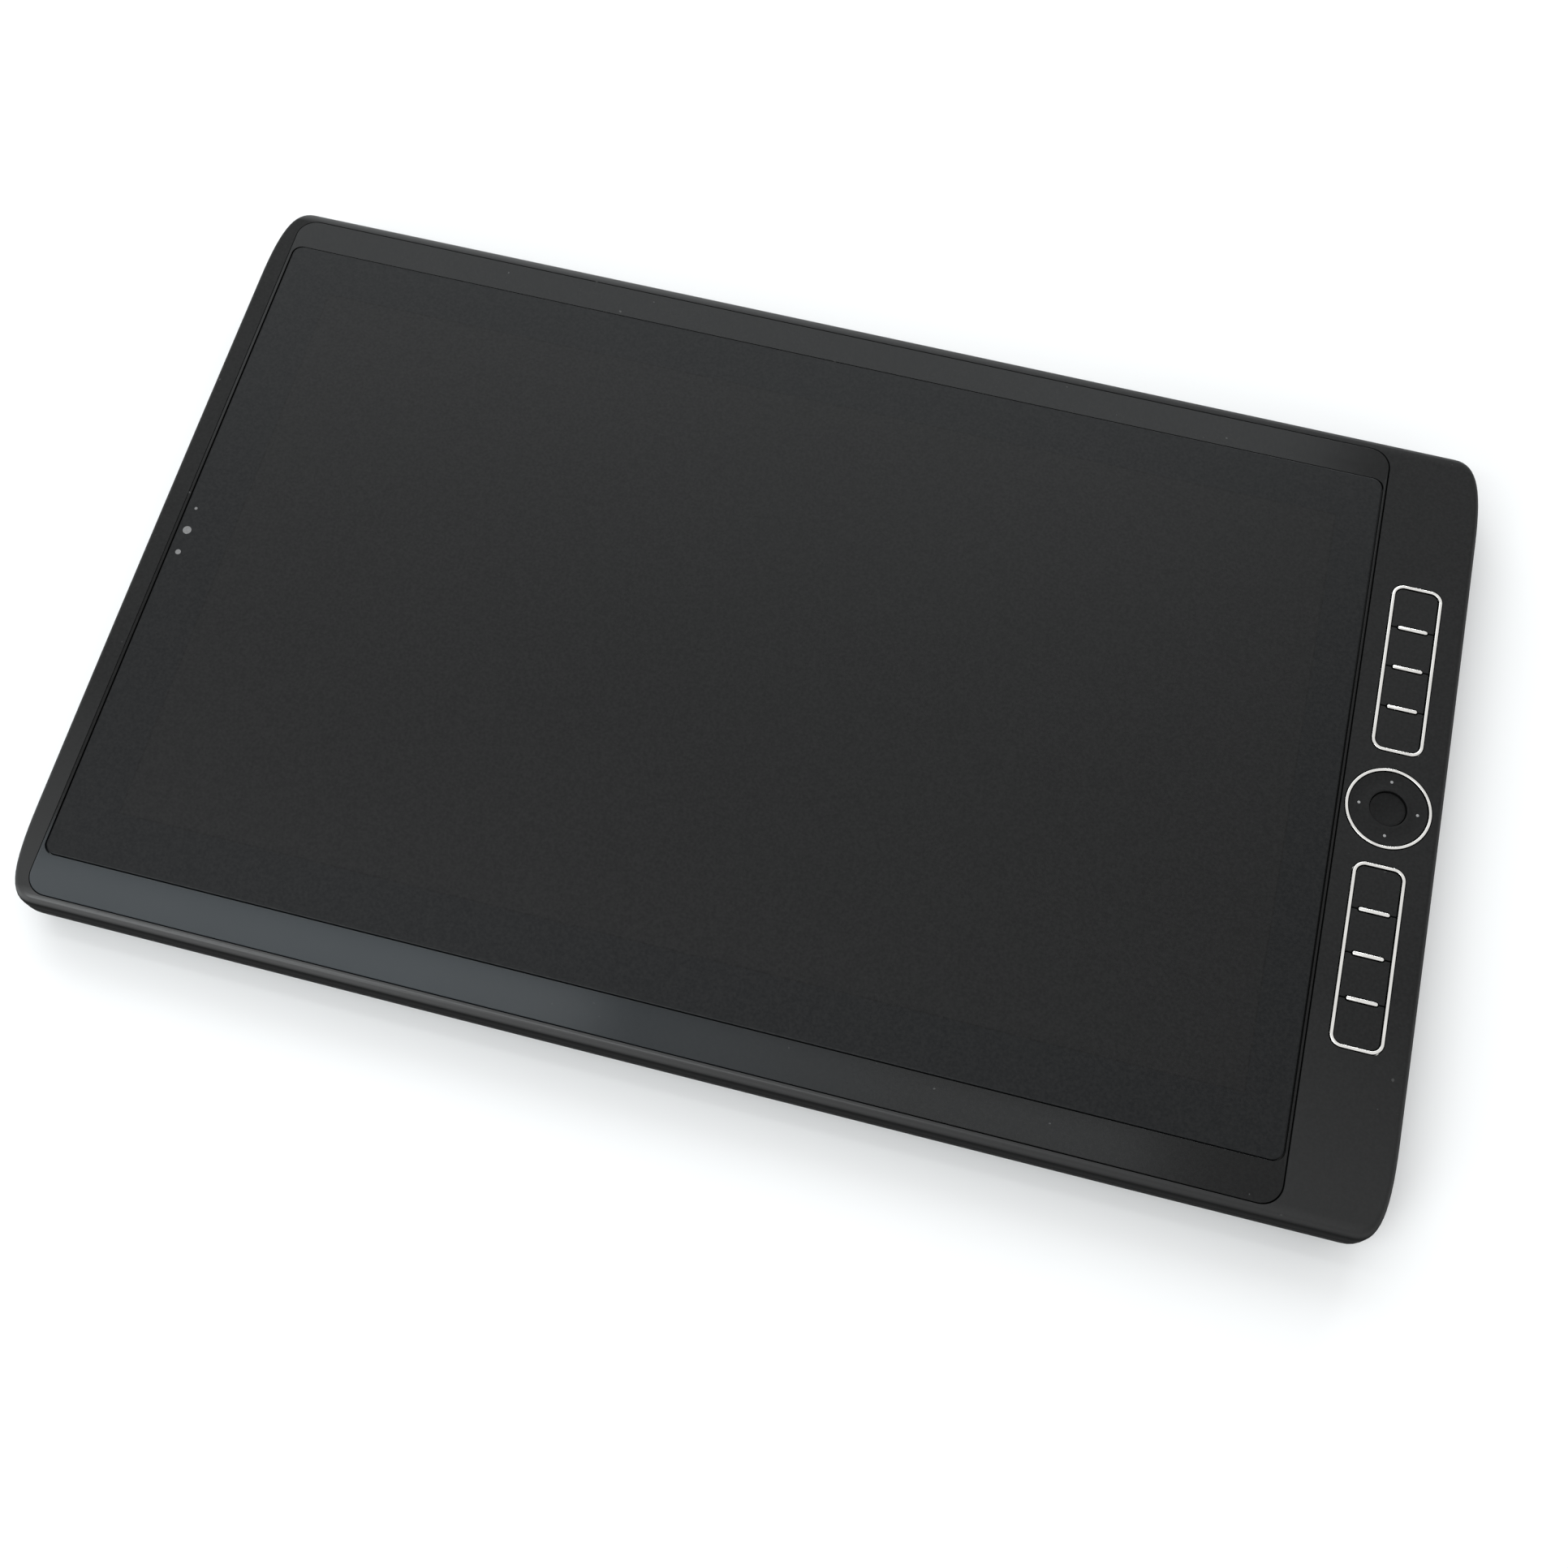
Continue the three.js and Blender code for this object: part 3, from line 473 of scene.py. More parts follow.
polishedTrim = metal("polishedTrim", (0.92, 0.91, 0.88, 1), (0.84, 0.83, 0.8, 1), (0.07, 0.16),
                     grain=0.3, relief=0.001)
satinSteel = metal("satinSteel", grey(0.62), grey(0.48), (0.24, 0.38))
darkSteel = metal("darkSteel", grey(0.12), grey(0.08), (0.3, 0.45))
castMagnesium = metal("castMagnesium", grey(0.42), grey(0.3), (0.42, 0.6), 0.9, relief=0.02)
copperMetal = metal("copperMetal", (0.72, 0.34, 0.2, 1), (0.5, 0.2, 0.11, 1), (0.26, 0.42))
goldContact = metal("goldContact", (0.86, 0.62, 0.26, 1), (0.7, 0.46, 0.18, 1), (0.2, 0.32))
batteryFoil = metal("batteryFoil", grey(0.3), grey(0.2), (0.3, 0.5), 1.4, (1, 6, 1), 0.02)


def rubber():
    paint = Finish("footRubber", gloss=0.25)
    grain = paint.noise(0.5, 4)
    wear = paint.noise(6, 4)
    return paint.done(
        colour=paint.mix(paint.level(wear, 0.35, 0.7), grey(0.012), grey(0.024)),
        rough=paint.level(wear, 0.2, 0.8, (0.75, 0.95)),
        normal=paint.bump(grain, 0.05, 0.7),
    )


def circuitLaminate():
    # green board with copper tracks showing faintly under the lacquer
    paint = Finish("circuitLaminate", gloss=0.5)
    x, y, _ = paint.axes()
    tracks = []
    for axis in (x, y):
        wave = (axis * (1 / (1.1 * mm))).maths("FRACT")
        tracks.append(wave.maths("LESS_THAN", 0.34))
    choice = paint.noise(7, 1).maths("GREATER_THAN", 0.5)
    track = choice * tracks[0] + (1 - choice) * tracks[1]
    return paint.done(
        colour=paint.mix(track, (0.012, 0.07, 0.035, 1), (0.02, 0.12, 0.05, 1)),
        rough=paint.level(paint.noise(2, 3), 0.2, 0.8, (0.3, 0.5)),
        normal=paint.bump(track, 0.03, 0.6),
    )


def smokedLens():
    # dark coated glass with a faint violet bloom in soft patches
    paint = Finish("smokedLens", gloss=0.6, coat=0.6, coatRough=0.03)
    bloom = paint.noise(3, 1)
    return paint.done(
        colour=paint.mix(bloom, (0.006, 0.006, 0.009, 1), (0.02, 0.016, 0.035, 1)),
        rough=paint.level(bloom, 0.2, 0.8, (0.06, 0.12)),
    )


def markerPaint(name, pale, dark):
    paint = Finish(name, gloss=0.3)
    blot = paint.noise(0.35, 3)
    return paint.done(
        colour=paint.mix(paint.level(blot, 0.3, 0.7), pale, dark),
        rough=paint.level(blot, 0.2, 0.8, (0.45, 0.6)),
        normal=paint.bump(blot, 0.01, 0.4),
    )


footRubber = rubber()
boardLaminate = circuitLaminate()
lensGlass = smokedLens()
markerDots = markerPaint("markerDots", grey(0.3), grey(0.22))
sensorDots = markerPaint("sensorDots", grey(0.2), grey(0.14))
print("materials ready")


# the body's outline and its edge

body = span("top_housing")
shell = {
    "bow": 0.3, "face": body.high, "shoulder": 17.1, "seam": 14.05, "base": 1.2, "floor": 3.2,
    "wall": 2.0, "topWall": 2.2, "deck": 19.7, "roundWidth": 2.6, "bellyWidth": 9.0,
    "gap": 0.15, "ease": 0.25, "easeHigh": 0.4, "steps": 12,
}
bodyCorner = {"reach": 30, "handle": 9, "endHandle": 2.2, "end": 10, "soften": 20, "steps": 16}


def bodyRing(inset):
    # each corner eases slowly out of the short side and turns quickly into the long one
    width, depth = body.width / 2 - inset, body.depth / 2 - inset
    scale = 1 - inset / bodyCorner["soften"]
    knots = [
        Vector((width, depth - bodyCorner["reach"] * scale)),
        Vector((width, depth - bodyCorner["handle"] * scale)),
        Vector((width - bodyCorner["endHandle"] * scale, depth)),
        Vector((width - bodyCorner["end"] * scale, depth)),
    ]
    quarter = [tuple(point) for point in interpolate_bezier(*knots, bodyCorner["steps"])]
    half = quarter + [(-x, y) for x, y in reversed(quarter)]
    corners = half + [(-x, -y) for x, y in half]
    ring = []
    for i, (x, y) in enumerate(corners):
        u, v = corners[(i + 1) % len(corners)]
        steps = 6 if (i + 1) % bodyCorner["steps"] == 0 else 1
        ring += [(x + (u - x) * k / steps, y + (v - y) * k / steps) for k in range(steps)]
    bow = shell["bow"]
    return [
        (x - math.copysign(bow, x) * (y / depth) ** 2,
         y - math.copysign(bow, y) * (x / width) ** 2)
        for x, y in ring
    ]


def edgeInset(z):
    # how far the outer surface lies inside the outline at a height
    if z > shell["shoulder"]:
        rise = (z - shell["shoulder"]) / (shell["face"] - shell["shoulder"])
        return shell["roundWidth"] * (1 - math.sqrt(max(0, 1 - rise * rise)))
    drop = max(0, (shell["seam"] - z) / (shell["seam"] - shell["base"]))
    return shell["bellyWidth"] * (1 - math.sqrt(max(0, 1 - drop ** 3)))


def hole(bm, ring, levels, ease=0.12):
    # an opening with a softened lip, from the face downwards
    lip = [(-inset, z) for inset, z in reversed(rounding(ease, shell["face"]))]
    return climb(bm, ring, lip + levels)


# top housing, with openings for the front panel, the keys and the ring

panelOpening = {
    "gap": 0.35, "radius": 6.8, "floor": 18.1, "ledge": 2.2, "skirt": 0.8, "skirtLow": 16.6,
}
keyOpening = {"width": 16.5, "depth": 58.9, "radius": 4.1}
ringOpening = {"radius": 13.45}

panelSpan = span("front_bezel")
panelRing = roundedRect(
    panelSpan.left - panelOpening["gap"], panelSpan.right + panelOpening["gap"],
    panelSpan.front - panelOpening["gap"], panelSpan.back + panelOpening["gap"],
    panelOpening["radius"], 12)
keySpans = [span("upper_key_trim"), span("lower_key_trim")]
ringSpan = span("rocker_ring")
bm = bmesh.new()
parting = shell["seam"] + shell["gap"]
profile = [
    (shell["topWall"], shell["deck"]), (shell["topWall"], parting), (shell["ease"], parting),
    (0, shell["seam"] + shell["easeHigh"]), (0, shell["shoulder"] - 1.5),
]
turn = [math.sin(math.pi / 2 * step / shell["steps"]) for step in range(shell["steps"] + 1)]
profile += [(edgeInset(z), z) for z in
            (shell["shoulder"] + (shell["face"] - shell["shoulder"]) * rise for rise in turn)]
ceiling, deck = climb(bm, bodyRing, profile)
levels = [
    (0, panelOpening["floor"]), (panelOpening["ledge"], panelOpening["floor"]),
    (panelOpening["ledge"], panelOpening["skirtLow"]),
    (-panelOpening["skirt"], panelOpening["skirtLow"]), (-panelOpening["skirt"], shell["deck"]),
]
openings = [centred(keyOpening["width"], keyOpening["depth"], keyOpening["radius"],
                    side.x, side.y) for side in keySpans]
openings.append(circle(ringOpening["radius"], ringSpan.x, ringSpan.y, roundSteps))
holes = [hole(bm, panelRing, levels)]
holes += [hole(bm, opening, [(0, shell["deck"])]) for opening in openings]
cap(bm, deck, *(top for top, _ in holes))
cap(bm, ceiling, *(low for _, low in holes))
hand(asPiece(bm, "topHousing", housingPlastic), "body", "housing", "top_housing")


# front bezel and the glass seated in it

bezelShape = {
    "radius": 6.6, "ease": 0.12, "seatEase": 0.1, "low": 18.4, "ledge": 20.3, "window": 1.0,
}
bezelGaps = (0.15, 0.45, 0.3, 0.22)  # seam to the housing: left, right, front, back
seatGaps = (0.36, 0.45, 0.3, 0.06)  # seam to the glass
glassShape = {"radius": 3.5, "edge": [(0, 0.4), (0.04, 0.24), (0.12, 0.12), (0.44, 0)]}


def grown(node, gaps, radius, steps=12):
    left, right, front, back = gaps
    return roundedRect(node.left - left, node.right + right, node.front - front, node.back + back,
                       radius, steps)


glassSpan = span("cover_glass")
seatRing = grown(glassSpan, seatGaps, glassShape["radius"])
bezelReach = [panelOpening["gap"] - gap for gap in bezelGaps]
bezelRing = grown(panelSpan, bezelReach, bezelShape["radius"])
bm = bmesh.new()
profile = [(0, bezelShape["low"])] + rounding(bezelShape["ease"], shell["face"])
foot, edge = climb(bm, bezelRing, profile)
seat = [(0, bezelShape["ledge"]), (bezelShape["window"], bezelShape["ledge"]),
        (bezelShape["window"], bezelShape["low"])]
inside, under = hole(bm, seatRing, seat, bezelShape["seatEase"])
cap(bm, edge, inside)
cap(bm, foot, under)
hand(asPiece(bm, "frontBezel", bezelPlastic), "body", "bezel", "front_bezel")

bm = bmesh.new()
edge = [(inset, glassSpan.high - drop) for inset, drop in glassShape["edge"]]
closed(bm, grown(glassSpan, (0, 0, 0, 0), glassShape["radius"]), [(0, glassSpan.low)] + edge)
hand(asPiece(bm, "coverGlass", screenGlass, 20), "body", "cover_glass", "cover_glass")


def printed(bm, ring, high, layer):
    # a thin printed spot that stands a little above its surface
    closed(bm, ring, [(0, high - layer["sunk"]), (0, high + layer["edge"]),
                      (layer["ease"], high + layer["proud"])])


sensorSpots = [(0, 1.4), (8.2, 0.5), (-8.2, 0.9)]  # along the border from the lens, and radius
sensorPrint = {"sunk": 0.02, "edge": 0.008, "proud": 0.02, "ease": 0.05}
module = span("front_camera_module")
bm = bmesh.new()
for along, radius in sensorSpots:
    printed(bm, circle(radius, module.x, module.y + along, 32), glassSpan.high, sensorPrint)
hand(asPiece(bm, "sensorWindows", sensorDots), "body", "camera_glass")
print("front panel ready")


# bright trims round the keys and the ring

trimShape = {
    "flange": 1.1, "flangeHigh": 19.4, "frame": 0.95, "radius": 3.8, "ease": 0.14,
    "ringFlange": 0.001, "ringFrame": 0.85,
}


def trimSection(trim, flange, frame):
    soft = rounding(trimShape["ease"], trim.high)
    step = trimShape["flangeHigh"]
    outside = [(-flange, trim.low), (-flange, step), (0, step)]
    inside = [(frame - inset, z) for inset, z in reversed(soft)]
    return outside + soft + inside + [(frame, trim.low)]


bm = bmesh.new()
for side in keySpans:
    frameRing = centred(side.width - 2 * trimShape["flange"], side.depth - 2 * trimShape["flange"],
                        trimShape["radius"], side.x, side.y, 12)
    hoop(bm, frameRing, trimSection(side, trimShape["flange"], trimShape["frame"]))
hand(asPiece(bm, "keyTrims", polishedTrim), "body", "bright_trim",
     "upper_key_trim", "lower_key_trim")

ringTrim = span("rocker_trim")
bm = bmesh.new()
section = trimSection(ringTrim, trimShape["ringFlange"], trimShape["ringFrame"])
hoop(bm, circle(ringTrim.width / 2, ringTrim.x, ringTrim.y, roundSteps), section)
hand(asPiece(bm, "ringTrim", polishedTrim), "body", "bright_trim", "rocker_trim")


# eight keys, each notched for the divider bars

keyShape = {
    "cornerOuter": 2.6, "cornerInner": 0.3, "ease": 0.22, "notchLength": 9.86, "notchWidth": 1.71,
    "pitch": 14.0, "halfGap": 0.15, "stem": 1.6, "stemLow": 17.4, "low": 19.7, "slim": 0.05,
    "steps": 6,
}


def keyEdge(halfWidth, reach, notched, radius):
    # the far edge of a key, from its right corner to its left one
    turn = [math.pi / 2 * i / keyShape["steps"] for i in range(keyShape["steps"] + 1)]
    x, y = halfWidth - radius, reach - radius
    corner = [(x + radius * math.cos(a), y + radius * math.sin(a)) for a in turn]
    notch = []
    if notched:
        half, bite = keyShape["notchLength"] / 2, keyShape["notchWidth"] / 2 - keyShape["halfGap"]
        right = [(half - bite + bite * math.sin(a), reach - bite * math.cos(a))
                 for a in reversed(turn)]
        notch = right + [(-x, y) for x, y in reversed(right)]
    return corner + notch + [(-x, y) for x, y in reversed(corner)]


def keyCap(name, upperEnd, lowerEnd):
    node = span(name)
    far, near = (keyShape["cornerOuter"] if end else keyShape["cornerInner"]
                 for end in (upperEnd, lowerEnd))
    bar = keyShape["pitch"] / 2 - keyShape["halfGap"]
    middle = node.back - (bar if not upperEnd else node.depth - bar)
    points = keyEdge(node.width / 2, node.back - middle, not upperEnd, far)
    below = keyEdge(node.width / 2, middle - node.front, not lowerEnd, near)
    points += [(-x, -y) for x, y in below]
    outline = traced([(x + node.x, y + middle) for x, y in points])
    bm = bmesh.new()
    slim = keyShape["slim"]
    top = [(inset + slim, z) for inset, z in rounding(keyShape["ease"], node.high)]
    closed(bm, outline, [(slim, keyShape["low"])] + top)
    stem = circle(keyShape["stem"], node.x, middle, 20)
    closed(bm, stem, [(0, keyShape["stemLow"]), (0, keyShape["low"] + 0.5)])
    hand(asPiece(bm, name.replace("_", "") + "Cap", keyPlastic), name, "keys", name)


for number in range(1, 9):
    keyCap(f"key_{number}", number % 4 == 1, number % 4 == 0)


# repeated pieces come from node trees with named inputs

def treeNode(tree, kind, values, out=0):
    node = tree.nodes.new("GeometryNode" + kind)
    for key, value in values.items():
        tree.links.new(value, node.inputs[key])
    return node.outputs[out]


def repeatTree(name, shape, sizes):
    # copies of a piece on every point of a grid or circle, realised and painted
    tree = bpy.data.node_groups.new(name, "GeometryNodeTree")
    kinds = {"piece": "Object", "material": "Material", "centre": "Vector"}
    kinds.update({label: kind for label, (kind, _) in sizes.items()})
    for label, kind in kinds.items():
        tree.interface.new_socket(label, in_out="INPUT", socket_type="NodeSocket" + kind)
    tree.interface.new_socket("Geometry", in_out="OUTPUT", socket_type="NodeSocketGeometry")
    start = tree.nodes.new("NodeGroupInput").outputs
    spots = treeNode(tree, shape, {socket: start[label] for label, (_, socket) in sizes.items()})
    moved = treeNode(tree, "SetPosition", {"Geometry": spots, "Offset": start["centre"]})
    source = treeNode(tree, "ObjectInfo", {"Object": start["piece"]}, "Geometry")
    copies = treeNode(tree, "InstanceOnPoints", {"Points": moved, "Instance": source})
    real = treeNode(tree, "RealizeInstances", {"Geometry": copies})
    painted = treeNode(tree, "SetMaterial", {"Geometry": real, "Material": start["material"]})
    tree.links.new(painted, tree.nodes.new("NodeGroupOutput").inputs[0])
    return tree


def repeated(name, tree, piece, material, **inputs):
    # runs a tree on a single piece, and gives back the plain mesh of all its copies
    carrier = bpy.data.objects.new(name, bpy.data.meshes.new(name))
    bpy.context.scene.collection.objects.link(carrier)
    modifier = carrier.modifiers.new(tree.name, "NODES")
    modifier.node_group = tree
    values = {"piece": piece, "material": material, **inputs}
    for item in tree.interface.items_tree:
        if item.in_out == "INPUT":
            modifier[item.identifier] = values[item.name]
    piece.modifiers.clear()
    settle(carrier)
    bpy.data.objects.remove(piece)
    return carrier


gridTree = repeatTree("rowsAndColumns", "MeshGrid", {
    "columns": ("Int", "Vertices X"), "rows": ("Int", "Vertices Y"),
    "across": ("Float", "Size X"), "along": ("Float", "Size Y"),
})
circleTree = repeatTree("roundACircle", "MeshCircle", {
    "count": ("Int", "Vertices"), "radius": ("Float", "Radius"),
})

barShape = {"ease": 0.16}
bar = span("divider_bar_1")
bm = bmesh.new()
closed(bm, pill(bar.width, bar.depth), [(0, bar.low)] + rounding(barShape["ease"], bar.high))
for number, side in enumerate(keySpans):
    single = asPiece(bm.copy(), "bar", polishedTrim)
    bars = repeated(
        f"dividerBars{number + 1}", gridTree, single, polishedTrim, columns=1, rows=3,
        across=0.0, along=2 * keyShape["pitch"] * mm, centre=(side.x * mm, side.y * mm, 0))
    nodes = (f"divider_bar_{3 * number + i}" for i in (1, 2, 3))
    hand(bars, "body", "bright_trim", *nodes)
bm.free()


# rocker ring with its four marks, and the button in its middle

dishSteps = [step / 8 for step in range(1, 8)]  # how far across a dished top
ringShape = {
    "inner": 5.75, "ease": 0.2, "dish": 0.2, "skirt": 19.3,
    "dots": 4, "dotRadius": 0.45, "dotReach": 8.95,
}
dotPrint = {"sunk": 0.06, "edge": 0.012, "proud": 0.022, "ease": 0.04}
bm = bmesh.new()
wide = ringSpan.width / 2
across = wide - ringShape["inner"]
outside = rounding(ringShape["ease"], ringSpan.high, 4)
inside = [(across - inset, z) for inset, z in reversed(outside)]
bowl = []
for share in dishSteps:
    reach = ringShape["ease"] + (across - 2 * ringShape["ease"]) * share
    bowl.append((reach, ringSpan.high - ringShape["dish"] * (1 - (2 * share - 1) ** 2)))
section = [(0, ringShape["skirt"])] + outside + bowl + inside + [(across, ringShape["skirt"])]
hoop(bm, circle(wide, ringSpan.x, ringSpan.y, roundSteps), section)
hand(asPiece(bm, "rockerRing", ringPlastic), "rocker_ring", "keys", "rocker_ring")

bm = bmesh.new()
dot = circle(ringShape["dotRadius"], steps=24)
printed(bm, dot, ringSpan.high - ringShape["dish"], dotPrint)
dots = repeated("ringMarks", circleTree, asPiece(bm, "dot", markerDots), markerDots,
                count=ringShape["dots"], radius=ringShape["dotReach"] * mm,
                centre=(ringSpan.x * mm, ringSpan.y * mm, 0))
hand(dots, "rocker_ring", "keys")

homeShape = {
    "rim": 0.35, "ease": 0.15, "dish": 0.4, "skirt": 19.2,
    "stem": 2.0, "stemLow": 17.4, "stemHigh": 19.7,
}
homeSpan = span("home_button")
bm = bmesh.new()
bowl = []
reach = homeSpan.width / 2 - homeShape["rim"]
for share in dishSteps:
    sunk = homeShape["dish"] * (1 - (1 - share) ** 2)
    bowl.append((homeShape["rim"] + reach * share, homeSpan.high - sunk))
profile = [(0, homeShape["skirt"])] + rounding(homeShape["ease"], homeSpan.high) + bowl
closed(bm, circle(homeSpan.width / 2, homeSpan.x, homeSpan.y), profile)
closed(bm, circle(homeShape["stem"], homeSpan.x, homeSpan.y, 24),
       [(0, homeShape["stemLow"]), (0, homeShape["stemHigh"])])
hand(asPiece(bm, "homeButton", buttonPlastic), "home_button", "keys", "home_button")
print("key column ready")


# rear cover: slots and recesses underneath, connectors and buttons round its wall

coverShape = {
    "lip": [(2.0, 13.9), (2.0, 13.7), (2.5, 13.7), (2.5, 15.4), (3.9, 15.4), (3.9, 12), (2.0, 12)],
    "innerHeights": (9.5, 6.5, 4.4), "ease": 0.25, "softMouth": 0.22, "steps": 18,
}
intake = {"x": -150, "y": 70, "rows": 9, "pitch": 4.2, "slot": 2.0, "radius": 19}
speakerSlots = {"rows": 5, "pitch": 4.0, "slot": 1.6, "length": 14, "y": -70}
exhaust = {"columns": 11, "pitch": 4.4, "slot": 2.2, "height": 4.0, "corner": 0.9, "z": 7.6}
footRecess = {"play": 0.6, "high": 2.2}
screwBore = {"head": 2.7, "shank": 1.55, "high": 2.7}
cameraRecess = {"radius": 5.3, "high": 2.6}
wallMouths = {
    "connectorPlay": 0.3, "buttonPlay": 0.28,
    "usbCorner": 1.7, "jackCorner": 3.2, "cardCorner": 0.8,
    "profile": [(0, -14), (0, -0.6), (-0.06, -0.32), (-0.2, -0.15), (-1.1, 1)],
}


def fromMiddle(count, pitch):
    return [(i - (count - 1) / 2) * pitch for i in range(count)]


def outOf(side, along, z, inset=0.0):
    # local x runs along a side, y up and z outwards
    turn = {
        "right": ((0, 1, 0), (0, 0, 1), (1, 0, 0)), "left": ((0, -1, 0), (0, 0, 1), (-1, 0, 0)),
        "back": ((-1, 0, 0), (0, 0, 1), (0, 1, 0)),
    }[side]
    reach = (body.depth if side == "back" else body.width) / 2 - inset
    place = {"right": (reach, along), "left": (-reach, along), "back": (along, reach)}[side]
    return Matrix.Translation(Vector((*place, z)) * mm) @ Matrix(turn).transposed().to_4x4()


def facing(bm, side, along, z, inset=0.0):
    bmesh.ops.transform(bm, matrix=outOf(side, along, z, inset), verts=bm.verts)
    return bm


def mouth(levels):
    # the softened way into a hole in the underside, then its levels
    soft, base = coverShape["softMouth"], shell["base"]
    return [(-soft, base), (-soft * 0.3, base + soft * 0.3), (0, base + soft)] + levels


usbSpans = [span(f"usb_c_port_{i}") for i in (1, 2, 3)]
jackSpan, cardSpan = span("headphone_jack"), span("card_slot")
buttonNames = ["power_button", "volume_up_button", "volume_down_button"]
knobSpan = span("rotation_lock_slider")
buttonShape = {
    "flange": 0.8, "flangeThick": 1, "depth": 4.5, "proud": 0.35, "inset": 0.5, "ease": 0.4,
}
knobShape = {
    "width": 5.0, "travel": 3.0, "height": 2.8, "along": 112, "sunk": 0.1, "ease": 0.3,
    "ribs": (-1, 0, 1), "ribWidth": 0.42, "ribLength": 1.7, "ribHigh": 0.1,
}


def wallOpenings():
    # side, place along it, height, and size of each opening in the wall
    play = 2 * wallMouths["connectorPlay"]
    openings = [
        (side, node.y, node.z, node.depth + play, node.height + play, wallMouths[corner])
        for side, node, corner in [
            *(("right", usb, "usbCorner") for usb in usbSpans),
            ("right", jackSpan, "jackCorner"), ("left", cardSpan, "cardCorner"),
        ]
    ]
    play = 2 * wallMouths["buttonPlay"]
    high = knobShape["height"] + play
    for name in buttonNames:
        button = span(name)
        width = button.width - 2 * buttonShape["flange"]
        openings.append(("back", button.x, button.z, width + play, high, high / 2))
    width = knobShape["width"] + knobShape["travel"] + play
    along = knobShape["along"] + knobShape["travel"] / 2
    openings.append(("back", along, knobSpan.z, width, high, high / 2))
    for column in fromMiddle(exhaust["columns"], exhaust["pitch"]):
        along = intake["x"] + column
        openings.append(("back", along, exhaust["z"], exhaust["slot"], exhaust["height"],
                         exhaust["corner"]))
    return openings


bm = bmesh.new()
drops = [math.cos(math.pi / 2 * step / coverShape["steps"]) for step in range(coverShape["steps"])]
heights = [shell["seam"] - (shell["seam"] - shell["base"]) * drop for drop in drops]
outer = [(edgeInset(z), z) for z in heights]
outer += [(0.02, shell["seam"] - shell["easeHigh"]),
          (coverShape["ease"], shell["seam"] - shell["gap"])]
inner = [(edgeInset(z) + shell["wall"], z) for z in (*coverShape["innerHeights"], shell["floor"])]
under, floor = climb(bm, bodyRing, outer + coverShape["lip"] + inner)
mouths, ends = [under], [floor]


def through(ring, *levels):
    inset = levels[-1][0] if levels else 0
    low, high = climb(bm, ring, mouth([*levels, (inset, shell["floor"])]))
    mouths.append(low)
    ends.append(high)


def recess(ring, high):
    low, top = climb(bm, ring, mouth([(0, high)]))
    mouths.append(low)
    cap(bm, top)


for row in fromMiddle(intake["rows"], intake["pitch"]):
    length = 2 * math.sqrt(intake["radius"] ** 2 - row ** 2)
    through(pill(length, intake["slot"], intake["x"], intake["y"] + row, 5))
for speaker in ("speaker_left", "speaker_right"):
    for row in fromMiddle(speakerSlots["rows"], speakerSlots["pitch"]):
        through(pill(speakerSlots["length"], speakerSlots["slot"],
                     span(speaker).x, speakerSlots["y"] + row, 5))
feet = [span(f"foot_{i}") for i in range(1, 5)]
screws = [span(f"cover_screw_{i}") for i in range(1, 7)]
for foot in feet:
    length, width = foot.width + footRecess["play"], foot.depth + footRecess["play"]
    recess(pill(length, width, foot.x, foot.y), footRecess["high"])
step = screwBore["head"] - screwBore["shank"]
for screw in screws:
    through(circle(screwBore["head"], screw.x, screw.y, 32),
            (0, screwBore["high"]), (step, screwBore["high"]))
eye = span("rear_camera_window")
recess(circle(cameraRecess["radius"], eye.x, eye.y, 48), cameraRecess["high"])
cap(bm, *mouths)
cap(bm, *ends)
rearCover = asPiece(bm, "rearCover", coverPlastic)

cutter = bmesh.new()
for side, along, z, width, height, radius in wallOpenings():
    single = bmesh.new()
    corner = min(radius, height / 2 - 0.01, width / 2 - 0.01)
    closed(single, centred(width, height, corner, steps=6), wallMouths["profile"])
    facing(single, side, along, z)
    mesh = bpy.data.meshes.new("opening")
    single.to_mesh(mesh)
    cutter.from_mesh(mesh)
    single.free()
cutter = asPiece(cutter, "openings", coverPlastic)
cutter.modifiers.clear()


def carve(piece, tool):
    # takes the tool out of a piece, then shades it again
    piece.modifiers.clear()
    boolean = piece.modifiers.new("carve", "BOOLEAN")
    boolean.operation, boolean.solver, boolean.object = "DIFFERENCE", "EXACT", tool
    settle(piece)
    bm = bmesh.new()
    bm.from_mesh(piece.data)
    shade(bm, sharpAngle)
    bm.to_mesh(piece.data)
    bm.free()
    evenOut(piece)
    bpy.data.objects.remove(tool)


carve(rearCover, cutter)
hand(rearCover, "body", "housing", "rear_cover")
print("rear cover ready")


# connectors

backing = 1  # thickness of a connector behind its socket
usbShape = {
    "wall": 0.35, "tongue": 6.6, "tongueHeight": 0.7, "tongueTip": 1.0, "tongueEase": 0.15,
    "contacts": 12, "pitch": 0.5, "contactLength": 3.2, "contactWidth": 0.26, "contactBack": 0.35,
    "contactSunk": 0.05, "contactProud": 0.03,
}
usb = usbSpans[1]
bm = bmesh.new()
ring = pill(usb.depth, usb.height)
lip = [(0.08, 0), (usbShape["wall"] - 0.06, 0), (usbShape["wall"], -0.06)]
closed(bm, ring, [(0, -usb.width), (0, -0.08)] + lip + [(usbShape["wall"], backing - usb.width)])
tongue = centred(usbShape["tongue"], usbShape["tongueHeight"], 0.3, steps=4)
tip, ease = -usbShape["tongueTip"], usbShape["tongueEase"]
closed(bm, tongue, [(0, backing / 2 - usb.width), (0, tip - ease), (ease, tip)])
port = asPiece(facing(bm, "right", 0, usb.z, body.right - usb.right), "port", darkSteel)
